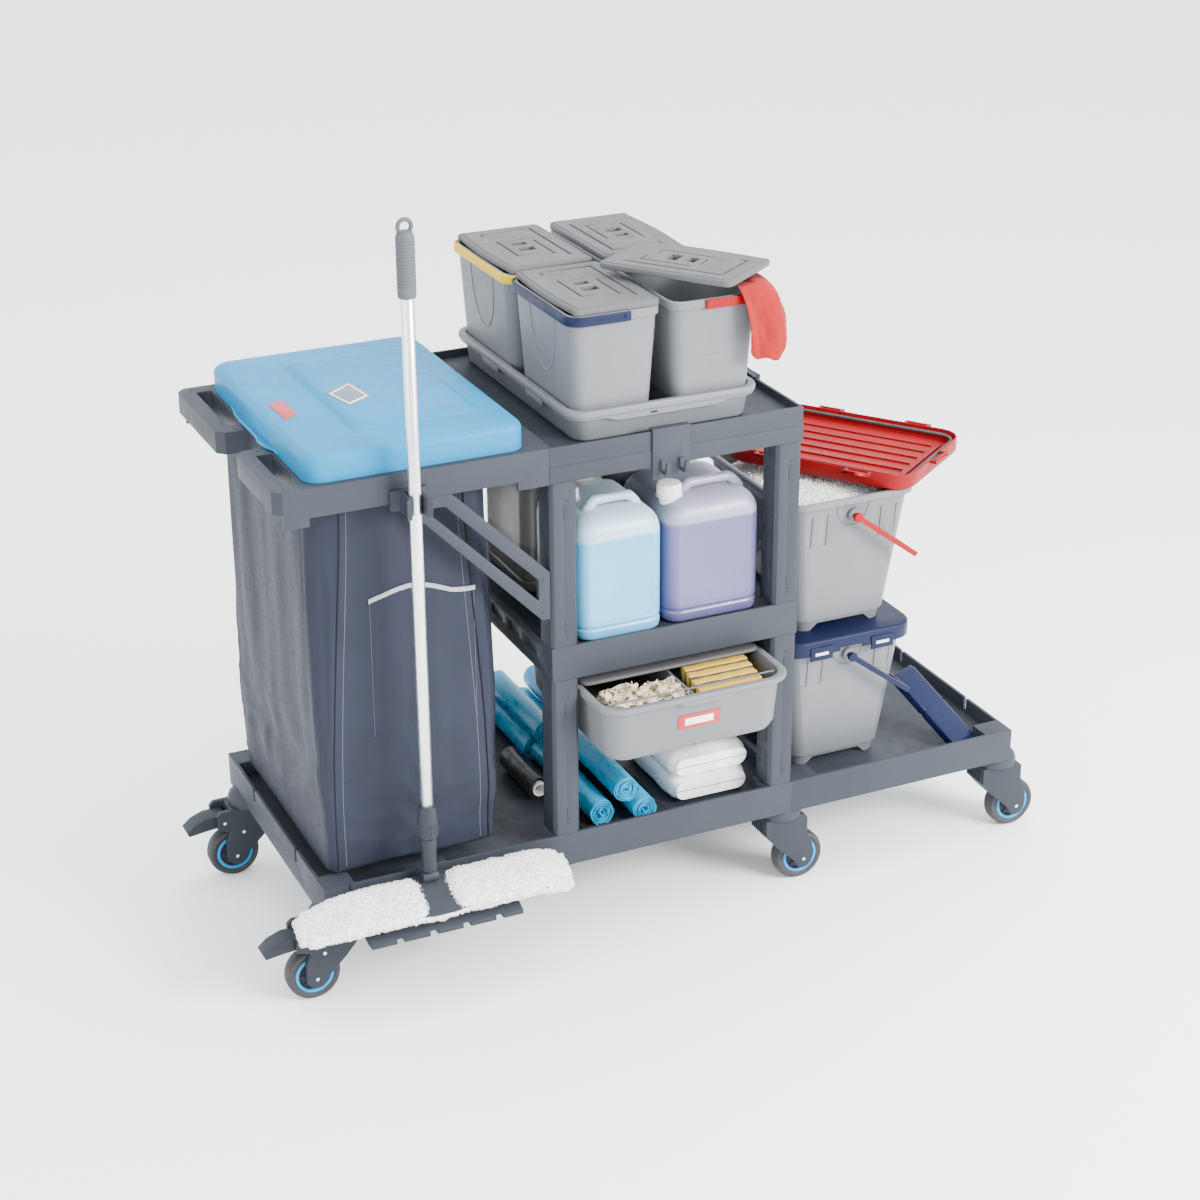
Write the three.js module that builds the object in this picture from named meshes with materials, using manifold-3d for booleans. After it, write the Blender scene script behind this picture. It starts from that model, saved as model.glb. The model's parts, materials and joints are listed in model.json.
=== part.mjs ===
// Housekeeping cart: a moulded frame of two base trays, eight posts and two shelves on six swivel
// casters, a hanging waste bag under a hinged lid, four small buckets in a tray, two large
// stacking buckets, a sliding drawer and a flat mop parked on the front.
// Millimetres, +Z up. X runs along the cart from the push handles, Y from the front to the rear.
import * as THREE from 'three';
import { mergeVertices } from 'three/addons/utils/BufferGeometryUtils.js';
import Module from 'manifold-3d';

const wasm = await Module();
wasm.setup();

// ---- driving dimensions -------------------------------------------------------------------
const GAP = 0.3; // clearance between pieces that touch
const DEPTH = 570; // frame, front face to rear face
const BAG_BAY = 440; // frame, left end to the left face of the posts
const POST_BAY = 490; // over the posts, left face to right face
const EXTENSION = 493; // length of the low tray on the right
const RIM = 65; // height of a tray or shelf module
const TIER = 310; // height of a post
const CASTER = 170; // floor to the underside of the base
const WALL = 6; // moulded frame wall
const POST_X = 51; // post section along X
const POST_Y = 55; // post section along Y
const SHELF_RECESS = 15; // rim top down to a shelf floor
const BASE_RECESS = 32; // rim top down to a base floor
const WHEEL_R = 50;
const WHEEL_WIDTH = 32;
const TRAIL = 42; // swivel axis to wheel axle
const CASTER_INSET_X = 25; // left end to the left swivel axes
const CASTER_INSET_Y = 45; // front or rear face to a swivel axis
const BUCKET_W = 172; // small bucket rim, along X
const BUCKET_D = 262; // small bucket rim, along Y
const BUCKET_H = 222; // small bucket, foot to rim
const LARGE_W = 274; // large bucket rim, along X
const LARGE_D = 372; // large bucket rim, along Y
const LARGE_H = 276; // large bucket, foot to rim
const DRAWER_LENGTH = 400;
const DRAWER_HEIGHT = 115;
const DRAWER_OUT = 105; // how far the drawer stands open
const POLE_R = 11;
const POLE_TOP = 1424;
const MOP_LENGTH = 517;

// ---- levels and stations that follow from them ----------------------------------------------
const BASE_Z = CASTER;
const BASE_TOP = BASE_Z + RIM;
const MIDDLE_Z = BASE_TOP + TIER;
const MIDDLE_TOP = MIDDLE_Z + RIM;
const TOP_Z = MIDDLE_TOP + TIER;
const TOP = TOP_Z + RIM;
const BASE_FLOOR = BASE_TOP - BASE_RECESS;
const SHELF_FLOOR = TOP - SHELF_RECESS;
const SEAM = BAG_BAY + POST_BAY;
const RIGHT_END = SEAM + EXTENSION;

// ---- finishes -----------------------------------------------------------------------------
function finish(color, roughness, metalness = 0) {
  return { color, roughness, metalness };
}
const FRAME_GREY = finish(0x69727f, 0.55);
const CASTER_GREY = finish(0x565c68, 0.5);
const TYRE_GREY = finish(0x4c4c50, 0.7);
const BUCKET_GREY = finish(0xb4b8bc, 0.45);
const LID_GREY = finish(0x96989a, 0.5);
const LID_BLUE = finish(0x6cc0e2, 0.4);
const BAG_CLOTH = finish(0x565d70, 0.85);
const YELLOW = finish(0xf4cf38, 0.45);
const GREEN = finish(0x2f9a6c, 0.45);
const NAVY = finish(0x3c4878, 0.45);
const RED = finish(0xcf3d42, 0.45);
const ALUMINIUM = finish(0xc8cacc, 0.3, 0.9);
const GRIP_GREY = finish(0x75787e, 0.6);
const MOP_WHITE = finish(0xf2f0ea, 0.95);
const CLOTH_RED = finish(0xe0403c, 0.95);

// ---- solids --------------------------------------------------------------------------------
function toSolid(geometry) {
  const bare = geometry.clone();
  bare.deleteAttribute('normal');
  bare.deleteAttribute('uv');
  const merged = mergeVertices(bare, 1e-4);
  const vertProperties = new Float32Array(merged.attributes.position.array);
  const triVerts = new Uint32Array(merged.index.array);
  return new wasm.Manifold(new wasm.Mesh({ numProp: 3, vertProperties, triVerts }));
}

function toGeometry(solid) {
  const mesh = solid.getMesh();
  const geometry = new THREE.BufferGeometry();
  geometry.setAttribute('position', new THREE.BufferAttribute(new Float32Array(mesh.vertProperties), 3));
  geometry.setIndex(new THREE.BufferAttribute(new Uint32Array(mesh.triVerts), 1));
  geometry.computeVertexNormals();
  return geometry;
}

function box(x0, x1, y0, y1, z0, z1) {
  const geometry = new THREE.BoxGeometry(x1 - x0, y1 - y0, z1 - z0);
  geometry.translate((x0 + x1) / 2, (y0 + y1) / 2, (z0 + z1) / 2);
  return toSolid(geometry);
}

// A flat outline pushed along an axis: 'x' reads points as (y, z), 'y' as (x, z), 'z' as (x, y).
function prism(axis, points, from, to) {
  const shape = new THREE.Shape(points.map(([u, v]) => new THREE.Vector2(u, v)));
  const geometry = new THREE.ExtrudeGeometry(shape, { depth: to - from, bevelEnabled: false });
  const X = new THREE.Vector3(1, 0, 0);
  const Y = new THREE.Vector3(0, 1, 0);
  const Z = new THREE.Vector3(0, 0, 1);
  if (axis === 'x') {
    geometry.applyMatrix4(new THREE.Matrix4().makeBasis(Y, Z, X));
    geometry.translate(from, 0, 0);
  }
  if (axis === 'y') {
    geometry.applyMatrix4(new THREE.Matrix4().makeBasis(X, Z, Y.clone().negate()));
    geometry.translate(0, to, 0);
  }
  if (axis === 'z') {
    geometry.translate(0, 0, from);
  }
  return toSolid(geometry);
}

// A turned form: profile of (radius, height) about 'x', 'y' or 'z' through a point.
function turned(axis, profile, [x, y, z], segments = 24) {
  const points = profile.map(([radius, height]) => new THREE.Vector2(radius, height));
  const geometry = new THREE.LatheGeometry(points, segments);
  if (axis === 'z') {
    geometry.rotateX(Math.PI / 2);
  }
  if (axis === 'x') {
    geometry.rotateZ(-Math.PI / 2);
  }
  geometry.translate(x, y, z);
  return toSolid(geometry);
}

function disc(axis, radius, from, to, centre, segments = 24) {
  return turned(axis, [[0, from], [radius, from], [radius, to], [0, to]], centre, segments);
}

// One level of a loft: a rectangle with rounded corners, given by its centre and size.
function level(cx, cy, width, depth, radius, z, steps = 3) {
  const ring = [];
  const corners = [[1, 1, 0], [-1, 1, 90], [-1, -1, 180], [1, -1, 270]];
  for (const [sx, sy, start] of corners) {
    for (let step = 0; step <= steps; step += 1) {
      const angle = THREE.MathUtils.degToRad(start + (90 * step) / steps);
      const x = cx + sx * (width / 2 - radius) + radius * Math.cos(angle);
      const y = cy + sy * (depth / 2 - radius) + radius * Math.sin(angle);
      ring.push([x, y, z]);
    }
  }
  return ring;
}

// Joins levels in order and closes the first and the last one with a face.
function loft(rings) {
  const count = rings[0].length;
  const positions = rings.flat(2);
  const index = [];
  for (let row = 0; row + 1 < rings.length; row += 1) {
    for (let i = 0; i < count; i += 1) {
      const a = row * count + i;
      const b = row * count + ((i + 1) % count);
      index.push(a, b, b + count, a, b + count, a + count);
    }
  }
  const last = (rings.length - 1) * count;
  for (let i = 1; i + 1 < count; i += 1) {
    index.push(0, i + 1, i);
    index.push(last, last + i, last + i + 1);
  }
  const geometry = new THREE.BufferGeometry();
  geometry.setAttribute('position', new THREE.Float32BufferAttribute(positions, 3));
  geometry.setIndex(index);
  return toSolid(geometry);
}

function union(solids) {
  return solids.reduce((whole, piece) => whole.add(piece));
}

function cut(solid, tools) {
  return tools.reduce((whole, tool) => whole.subtract(tool), solid);
}

// ---- scene graph ----------------------------------------------------------------------------
const cart = new THREE.Group();

function add(name, solid, look, parent = cart) {
  const mesh = new THREE.Mesh(toGeometry(solid), new THREE.MeshStandardMaterial(look));
  mesh.name = name;
  parent.add(mesh);
  return mesh;
}

// ---- frame ----------------------------------------------------------------------------------
const FLOOR_SKIN = 4;

// A moulded tray module: rim above its floor, skirt below it.
function trayModule(x0, x1, z0, recess) {
  const floor = z0 + RIM - recess;
  const body = box(x0, x1, 0, DEPTH, z0, z0 + RIM);
  const above = box(x0 + WALL, x1 - WALL, WALL, DEPTH - WALL, floor, z0 + RIM + 1);
  const below = box(x0 + WALL, x1 - WALL, WALL, DEPTH - WALL, z0 - 1, floor - FLOOR_SKIN);
  return cut(body, [above, below]);
}

const DOME_R = 44;
const DOME_LOW = CASTER - 20; // level of the bearing face
const DOME_HIGH = CASTER + 16;

// The fixed bearing housing that carries one caster at a corner of the base.
function bearingDome(x, y) {
  const crown = [];
  for (let step = 0; step <= 4; step += 1) {
    const angle = (Math.PI / 2) * (step / 4);
    crown.push([DOME_R * Math.cos(angle), DOME_LOW + 8 + (DOME_HIGH - DOME_LOW - 8) * Math.sin(angle)]);
  }
  crown[crown.length - 1][0] = 0;
  return turned('z', [[0, DOME_LOW], [DOME_R, DOME_LOW], ...crown], [x, y, 0], 24);
}

const BLOCK_X = 58; // corner block over each caster
const BLOCK_Y = 50;
const NOTCH_YS = [160, 406]; // hook notches in the end rims
const NOTCH = 9;
const NOTCH_DEPTH = 26;

function cornerBlock(x0, x1, atRear) {
  const y0 = atRear ? DEPTH - BLOCK_Y : 0;
  return box(x0, x1, y0, y0 + BLOCK_Y, BASE_Z, BASE_TOP);
}

function rimNotches(x0, x1) {
  const low = BASE_TOP - NOTCH_DEPTH;
  return NOTCH_YS.map((y) => box(x0, x1, y - NOTCH / 2, y + NOTCH / 2, low, BASE_TOP + 1));
}

const SWIVEL_XS = [CASTER_INSET_X, SEAM - 3, RIGHT_END - 8];
const SWIVEL_YS = [CASTER_INSET_Y, DEPTH - CASTER_INSET_Y];

function baseDeck() {
  const pieces = [trayModule(0, SEAM, BASE_Z, BASE_RECESS)];
  for (const atRear of [false, true]) {
    pieces.push(cornerBlock(0, BLOCK_X, atRear));
    pieces.push(cornerBlock(SEAM - BLOCK_X, SEAM, atRear));
  }
  for (const y of SWIVEL_YS) {
    pieces.push(bearingDome(SWIVEL_XS[0], y));
    pieces.push(bearingDome(SWIVEL_XS[1], y).subtract(box(SEAM, SEAM + 100, 0, DEPTH, BASE_Z - GAP, TOP)));
  }
  return cut(union(pieces), rimNotches(-1, WALL + 1));
}

function baseExtension() {
  const left = SEAM + GAP;
  const pieces = [trayModule(left, RIGHT_END, BASE_Z, BASE_RECESS)];
  for (const atRear of [false, true]) {
    pieces.push(cornerBlock(left, left + BLOCK_X, atRear));
    pieces.push(cornerBlock(RIGHT_END - BLOCK_X, RIGHT_END, atRear));
  }
  for (const y of SWIVEL_YS) {
    pieces.push(bearingDome(SWIVEL_XS[2], y));
  }
  return cut(union(pieces), rimNotches(RIGHT_END - WALL - 1, RIGHT_END + 1));
}

const POST_WALL = 4;
const POST_CHAMFER = 6;

function postOutline(x0, y0, inset, chamfer) {
  const x1 = x0 + POST_X - inset;
  const y1 = y0 + POST_Y - inset;
  const a = x0 + inset;
  const b = y0 + inset;
  return [
    [a + chamfer, b], [x1 - chamfer, b], [x1, b + chamfer], [x1, y1 - chamfer],
    [x1 - chamfer, y1], [a + chamfer, y1], [a, y1 - chamfer], [a, b + chamfer],
  ];
}

// A hollow post that stands between two modules.
function post(x0, y0, z0) {
  const outer = prism('z', postOutline(x0, y0, 0, POST_CHAMFER), z0 + GAP, z0 + TIER - GAP);
  const inner = prism('z', postOutline(x0, y0, POST_WALL, POST_CHAMFER / 2), z0, z0 + TIER);
  return outer.subtract(inner);
}

const DRAWER_SIDE = 5; // post face to drawer rim
const DRAWER_FLANGE = 12; // rim beyond the drawer's side
const RAIL_WALL = 4;
const RAIL_LIP_TOP = MIDDLE_Z - 40.5;
const RAIL_START = 60;
const RAIL_END = DEPTH - RAIL_START;
const DRAWER_LEFT = BAG_BAY + POST_X + DRAWER_SIDE;
const DRAWER_RIGHT = SEAM - POST_X - DRAWER_SIDE;

// The two angle rails under the middle shelf that the drawer's rim runs on.
function drawerRails() {
  const rails = [];
  const lipLow = RAIL_LIP_TOP - RAIL_WALL;
  const high = MIDDLE_TOP - SHELF_RECESS - 1;
  const leftWeb = DRAWER_LEFT - 8;
  const rightWeb = DRAWER_RIGHT + 8;
  const reach = DRAWER_FLANGE + 6;
  rails.push(box(leftWeb - RAIL_WALL, leftWeb, RAIL_START, RAIL_END, lipLow, high));
  rails.push(box(leftWeb - RAIL_WALL, leftWeb + reach, RAIL_START, RAIL_END, lipLow, RAIL_LIP_TOP));
  rails.push(box(rightWeb, rightWeb + RAIL_WALL, RAIL_START, RAIL_END, lipLow, high));
  rails.push(box(rightWeb - reach, rightWeb + RAIL_WALL, RAIL_START, RAIL_END, lipLow, RAIL_LIP_TOP));
  return rails;
}

function middleShelf() {
  return union([trayModule(BAG_BAY, SEAM, MIDDLE_Z, SHELF_RECESS), ...drawerRails()]);
}

function topShelf() {
  return trayModule(BAG_BAY, SEAM, TOP_Z, SHELF_RECESS);
}

// ---- bag frame with the push handles ----------------------------------------------------------
const RING_LEFT = 11; // left face of the ring between the push handles
const LOOP_LEFT = -45; // outer face of the push handles
const LOOP_BAR = 28;
const LOOP_DEPTH = 40;
const FRONT_LOOP = [0, 215]; // along Y
const REAR_LOOP = [313, DEPTH];
const LOOP_END = 33; // bar left at each end of a hand opening
const SKIRT = 51; // depth of the ring's skirt
const LEG = 66; // depth at its corners
const LEG_LENGTH = 58;
const BAG_LEFT = 18; // bag opening
const BAG_RIGHT = 352;
const BAG_FRONT = 36;
const BAG_REAR = DEPTH - BAG_FRONT;
const RING_SKIN = 6;
const LOOP_CHAMFER = 14;

function bagFrame() {
  const right = BAG_BAY - GAP;
  const skirtZ = TOP - SKIRT;
  const legZ = TOP - LEG;
  const ring = box(RING_LEFT, right, 0, DEPTH, skirtZ, TOP);
  const opening = box(BAG_LEFT, BAG_RIGHT, BAG_FRONT, BAG_REAR, legZ - 1, TOP + 1);
  const pocketTop = TOP - RING_SKIN;
  const frontPocket = box(BAG_LEFT, right - WALL, WALL, BAG_FRONT - WALL, legZ - 1, pocketTop);
  const rearPocket = box(BAG_LEFT, right - WALL, BAG_REAR + WALL, DEPTH - WALL, legZ - 1, pocketTop);
  const sidePocket = box(BAG_RIGHT + WALL, right - WALL, WALL, DEPTH - WALL, legZ - 1, pocketTop);
  const pieces = [cut(ring, [opening, frontPocket, rearPocket, sidePocket])];
  for (const [y0, y1] of [FRONT_LOOP, REAR_LOOP]) {
    const outline = [
      [LOOP_LEFT, y0 + LOOP_CHAMFER], [LOOP_LEFT + LOOP_CHAMFER, y0], [RING_LEFT + 1, y0],
      [RING_LEFT + 1, y1], [LOOP_LEFT + LOOP_CHAMFER, y1], [LOOP_LEFT, y1 - LOOP_CHAMFER],
    ];
    const loop = prism('z', outline, TOP - LOOP_DEPTH, TOP);
    const hand = [y0 + LOOP_END, y1 - LOOP_END];
    pieces.push(loop.subtract(box(LOOP_LEFT + LOOP_BAR, RING_LEFT, hand[0], hand[1], legZ, TOP + 1)));
  }
  for (const [y0, y1] of [[0, WALL], [DEPTH - WALL, DEPTH]]) {
    pieces.push(box(LOOP_LEFT + LOOP_CHAMFER, LOOP_LEFT + LEG_LENGTH, y0, y1, legZ, TOP - 1));
    pieces.push(box(right - LEG_LENGTH, right, y0, y1, legZ, TOP - 1));
  }
  for (const [y0, y1] of [[0, LEG_LENGTH], [DEPTH - LEG_LENGTH, DEPTH]]) {
    pieces.push(box(right - WALL, right, y0, y1, legZ, TOP - 1));
  }
  return union(pieces);
}

// A flat closed strut under the bag frame, from its skirt down to the upper post.
const BRACE_THICK = 12;
const BRACE_BAR = 22;

function brace(y0) {
  const high = TOP - SKIRT - GAP;
  const right = BAG_BAY - GAP;
  const outer = [
    [168, high], [424, MIDDLE_TOP + 58], [right, MIDDLE_TOP + 58], [right, MIDDLE_TOP + 147],
    [262, high],
  ];
  const inner = [
    [214, high - BRACE_BAR], [right - BRACE_BAR, MIDDLE_TOP + 97], [right - BRACE_BAR, MIDDLE_TOP + 136],
    [250, high - BRACE_BAR],
  ];
  const plate = prism('y', outer, y0, y0 + BRACE_THICK);
  return plate.subtract(prism('y', inner, y0 - 1, y0 + BRACE_THICK + 1));
}

add('base_deck', baseDeck(), FRAME_GREY);
add('base_extension', baseExtension(), FRAME_GREY);
for (const [tier, z] of [['lower', BASE_TOP], ['upper', MIDDLE_TOP]]) {
  for (const [row, y] of [['front', 0], ['rear', DEPTH - POST_Y]]) {
    for (const [side, x] of [['left', BAG_BAY], ['right', SEAM - POST_X]]) {
      add(`post_${tier}_${row}_${side}`, post(x, y, z), FRAME_GREY);
    }
  }
}
add('middle_shelf', middleShelf(), FRAME_GREY);
add('top_shelf', topShelf(), FRAME_GREY);
add('bag_frame', bagFrame(), FRAME_GREY);
add('brace_front', brace(3), FRAME_GREY);
add('brace_rear', brace(DEPTH - 3 - BRACE_THICK), FRAME_GREY);

// ---- casters ----------------------------------------------------------------------------------
const FORK_HALF = 31; // half width over the cheeks
const CHEEK = 10;
const FORK_TOP = DOME_LOW - GAP;
const AXLE_R = 5;
const WHEEL_CLEAR = 4;
const PEDAL_HALF = 19;
const PEDAL_PIVOT = [62, 126]; // from the swivel axis towards the wheel, and height
const PEDAL_EYE = 12;
const PIN_R = 3.5;

function arc(cx, cz, radius, from, to, steps) {
  const points = [];
  for (let step = 0; step <= steps; step += 1) {
    const angle = THREE.MathUtils.degToRad(from + ((to - from) * step) / steps);
    points.push([cx + radius * Math.cos(angle), cz + radius * Math.sin(angle)]);
  }
  return points;
}

// The swivel fork seen with its wheel trailing towards +X, its swivel axis on the origin.
function fork(braked) {
  const nose = braked ? PEDAL_PIVOT[0] + PEDAL_EYE + 2 : 48;
  const outline = [
    [-42, FORK_TOP], [-41, 116], [-14, 84], [20, 52], ...arc(TRAIL, WHEEL_R, 19, 205, 360, 5),
    [60, 82], [50, 104], [nose, braked ? 112 : 116], [nose, FORK_TOP - 8], [nose - 8, FORK_TOP],
  ];
  const body = prism('y', outline, -FORK_HALF, FORK_HALF);
  const wheelSlot = WHEEL_WIDTH / 2 + WHEEL_CLEAR / 2;
  const tools = [disc('y', WHEEL_R + WHEEL_CLEAR, -wheelSlot, wheelSlot, [TRAIL, 0, WHEEL_R], 28)];
  tools.push(box(0, 90, -wheelSlot, wheelSlot, 0, WHEEL_R + 10));
  if (braked) {
    const half = PEDAL_HALF + 1.5;
    tools.push(box(PEDAL_PIVOT[0] - PEDAL_EYE - 2, nose + 1, -half, half, 90, FORK_TOP + 1));
  }
  const axle = disc('y', AXLE_R, -FORK_HALF + 1, FORK_HALF - 1, [TRAIL, 0, WHEEL_R], 16);
  const pieces = [cut(body, tools), axle];
  if (braked) {
    const [x, z] = PEDAL_PIVOT;
    pieces.push(disc('y', PIN_R, -FORK_HALF + 1, FORK_HALF - 1, [x, 0, z], 12));
  }
  return union(pieces);
}

function wheel() {
  const half = WHEEL_WIDTH / 2;
  const bore = AXLE_R + 0.5;
  const profile = [
    [bore, -half], [WHEEL_R - 9, -half], [WHEEL_R - 3, -half + 3], [WHEEL_R, -half + 9],
    [WHEEL_R, half - 9], [WHEEL_R - 3, half - 3], [WHEEL_R - 9, half], [bore, half], [bore, -half],
  ];
  return turned('y', profile, [0, 0, 0], 28);
}

// The brake lever, hinged between the fork's cheeks and reaching out over the tyre.
function pedal() {
  const [x, z] = PEDAL_PIVOT;
  const outline = [
    ...arc(x, z, PEDAL_EYE, 70, 290, 8), [x + 16, z - 14], [x + 38, z - 16], [x + 68, z - 20],
    [x + 72, z - 12], [x + 56, z + 2], [x + 30, z + 12],
  ];
  const lever = prism('y', outline, -PEDAL_HALF, PEDAL_HALF);
  const bore = disc('y', PIN_R + 0.5, -PEDAL_HALF - 1, PEDAL_HALF + 1, [x, 0, z], 12);
  return lever.subtract(bore);
}

for (const [column, x] of [['left', SWIVEL_XS[0]], ['middle', SWIVEL_XS[1]], ['right', SWIVEL_XS[2]]]) {
  for (const [row, y] of [['front', SWIVEL_YS[0]], ['rear', SWIVEL_YS[1]]]) {
    const braked = column === 'left';
    const caster = new THREE.Group();
    caster.position.set(x, y, 0);
    caster.rotation.z = braked ? Math.PI : 0;
    cart.add(caster);
    add(`caster_fork_${row}_${column}`, fork(braked), CASTER_GREY, caster);
    const roller = add(`wheel_${row}_${column}`, wheel(), TYRE_GREY, caster);
    roller.position.set(TRAIL, 0, WHEEL_R);
    if (braked) {
      add(`brake_pedal_${row}`, pedal(), CASTER_GREY, caster);
    }
  }
}

// ---- waste bag and its lid --------------------------------------------------------------------
const BAG_GAP = 3; // bag to the ring
const BAG_SKIN = 3;
const BAG_BOTTOM = BASE_TOP + 6;
const LID_HEIGHT = 50;
const LID_WALL = 4;
const LID_LEFT = 16;
const LID_RIGHT = 406;
const LID_FRONT = 14;
const LID_REAR = DEPTH - LID_FRONT;
const PLATEAU_RISE = 8;

function bag() {
  const cx = (BAG_LEFT + BAG_RIGHT) / 2;
  const cy = (BAG_FRONT + BAG_REAR) / 2;
  const w = BAG_RIGHT - BAG_LEFT - 2 * BAG_GAP;
  const d = BAG_REAR - BAG_FRONT - 2 * BAG_GAP;
  const bulge = 8;
  const foot = 12;
  const skin = 2 * BAG_SKIN;
  const waist = (BAG_BOTTOM + TOP) / 2;
  return loft([
    level(cx, cy, w - foot, d - foot, 20, BAG_BOTTOM),
    level(cx, cy, w + bulge, d + bulge, 24, waist),
    level(cx, cy, w, d, 20, TOP - SKIRT),
    level(cx, cy, w, d, 20, TOP - RING_SKIN),
    level(cx, cy, w - skin, d - skin, 18, TOP - RING_SKIN),
    level(cx, cy, w - skin, d - skin, 18, TOP - SKIRT),
    level(cx, cy, w + bulge - skin, d + bulge - skin, 22, waist),
    level(cx, cy, w - foot - skin, d - foot - skin, 18, BAG_BOTTOM + BAG_SKIN),
  ]);
}

function bagLid() {
  const cx = (LID_LEFT + LID_RIGHT) / 2;
  const cy = (LID_FRONT + LID_REAR) / 2;
  const w = LID_RIGHT - LID_LEFT;
  const d = LID_REAR - LID_FRONT;
  const z0 = TOP + GAP;
  const z1 = z0 + LID_HEIGHT;
  const inner = 2 * LID_WALL;
  const shell = loft([
    level(cx, cy, w - 24 - inner, d - 24 - inner, 22, z1 - LID_WALL, 4),
    level(cx, cy, w - inner, d - inner, 28, z1 - 14 - LID_WALL, 4),
    level(cx, cy, w - inner, d - inner, 28, z0, 4),
    level(cx, cy, w, d, 32, z0, 4),
    level(cx, cy, w, d, 32, z1 - 16, 4),
    level(cx, cy, w - 8, d - 8, 30, z1 - 6, 4),
    level(cx, cy, w - 28, d - 28, 26, z1, 4),
  ]);
  const plateau = loft([
    level(cx + 30, cy, w - 150, d - 150, 20, z1 - 2),
    level(cx + 30, cy, w - 176, d - 176, 14, z1 + PLATEAU_RISE),
  ]);
  const lip = prism('z', [[8, 178], [LID_LEFT + 2, 160], [LID_LEFT + 2, 420], [8, 400]], z0, z0 + 7);
  return union([shell, plateau, lip]);
}

add('bag', bag(), BAG_CLOTH);
add('bag_lid', bagLid(), LID_BLUE);

// ---- flat mop, its clip and its rest ----------------------------------------------------------
const POLE_X = 184;
const POLE_Y = -34;
const GRIP_LENGTH = 131;
const KNOB_TOP = 378;
const MOP_PIVOT_Z = 238;
const MOP_EYE = 11;
const MOP_TILT = THREE.MathUtils.degToRad(24);
const MOP_PLATE = 7;
const MOP_PLATE_X = [25, 385];
const PAD_THICK = 18;
const PAD_REACH = [-16, 84]; // from the pivot, rear edge and front edge along the tilted plate
const PAD_LEFT = -72;
const PLATE_DROP = 9; // pivot down to the plate's top face

function mopClip() {
  const half = POLE_R + 1;
  const z0 = TOP - 62;
  const z1 = TOP - 26;
  const arm = 6;
  const outline = [
    [POLE_X - 33, -GAP], [POLE_X - 33, -5], [POLE_X - half - arm, -9],
    [POLE_X - half - arm, -50], [POLE_X - half - arm - 5, -58], [POLE_X - half - 1, -56],
    [POLE_X - half, -48], [POLE_X - half, -12], [POLE_X + half, -12], [POLE_X + half, -48],
    [POLE_X + half + 1, -56], [POLE_X + half + arm + 5, -58], [POLE_X + half + arm, -50],
    [POLE_X + half + arm, -9], [POLE_X + 33, -5], [POLE_X + 33, -GAP],
  ];
  return prism('z', outline.reverse(), z0, z1);
}

function tilted(y, z) {
  const along = POLE_Y - y * Math.cos(MOP_TILT) - z * Math.sin(MOP_TILT);
  const up = MOP_PIVOT_Z - y * Math.sin(MOP_TILT) + z * Math.cos(MOP_TILT);
  return [along, up];
}

function slab(reach, high, low, x0, x1) {
  const [a, b] = reach;
  return prism('x', [tilted(b, low), tilted(a, low), tilted(a, high), tilted(b, high)].reverse(), x0, x1);
}

// The bracket on the front rim: a rear wall, a sloping floor and a toothed front edge.
function mopRest() {
  const [x0, x1] = [48, 332];
  const rear = -GAP;
  const under = tilted(PAD_REACH[1] - 12, -PLATE_DROP - MOP_PLATE - PAD_THICK - GAP);
  const tip = tilted(PAD_REACH[1] + 10, -PLATE_DROP - MOP_PLATE - PAD_THICK - GAP);
  const floorZ = under[1] - 10;
  const profile = [
    [rear, BASE_Z + 4], [rear, BASE_TOP + 4], [rear - 4, BASE_TOP + 4], [rear - 4, BASE_Z + 12],
    [under[0] + 12, floorZ], [under[0], under[1]], [tip[0], tip[1]], [tip[0] + 1, tip[1] - 8],
    [under[0] + 2, floorZ - 8],
  ];
  const channel = prism('x', profile.reverse(), x0, x1);
  const teeth = [];
  for (let x = x0 + 46; x < x1 - 20; x += 62) {
    teeth.push(box(x, x + 14, tip[0] - 5, under[0] + 20, BASE_Z - 20, floorZ + 2));
  }
  const hookX = [POLE_X - 34, POLE_X + 44];
  const hook = box(hookX[0], hookX[1], rear - 4, 16, BASE_TOP + GAP, BASE_TOP + 6);
  const hookDown = box(hookX[0], hookX[1], WALL + 2, 16, BASE_TOP - 20, BASE_TOP + 6);
  return union([cut(channel, teeth), hook, hookDown]);
}

function mopPole() {
  const low = MOP_PIVOT_Z + MOP_EYE + GAP;
  const profile = [
    [0, low], [13, low], [14.5, low + 60], [15.5, KNOB_TOP - 61], [18.5, KNOB_TOP - 56],
    [18.5, KNOB_TOP - 28], [15, KNOB_TOP - 2], [15, KNOB_TOP], [POLE_R, KNOB_TOP],
    [POLE_R, POLE_TOP - GRIP_LENGTH], [0, POLE_TOP - GRIP_LENGTH],
  ];
  return turned('z', profile, [POLE_X, POLE_Y, 0], 16);
}

function mopGrip() {
  const low = POLE_TOP - GRIP_LENGTH + GAP;
  const eye = POLE_TOP - 15;
  const profile = [[0, low], [14.5, low], [16, low + 14], [15.5, eye - 14], [9, eye - 6], [0, eye - 6]];
  const handle = turned('z', profile, [POLE_X, POLE_Y, 0], 16);
  const ring = disc('y', 15, -5, 5, [POLE_X, POLE_Y, eye], 20);
  const hole = disc('y', 8, -6, 6, [POLE_X, POLE_Y, eye], 16);
  return handle.add(ring).subtract(hole);
}

// The pivoting plate of the mop head, with the eye that the pole's socket bears on.
function mopFrame() {
  const eye = disc('x', MOP_EYE, -14, 14, [POLE_X, POLE_Y, MOP_PIVOT_Z], 16);
  const plate = slab([PAD_REACH[0] + 4, PAD_REACH[1] - 8], -PLATE_DROP, -PLATE_DROP - MOP_PLATE,
    MOP_PLATE_X[0], MOP_PLATE_X[1]);
  return eye.add(plate);
}

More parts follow.
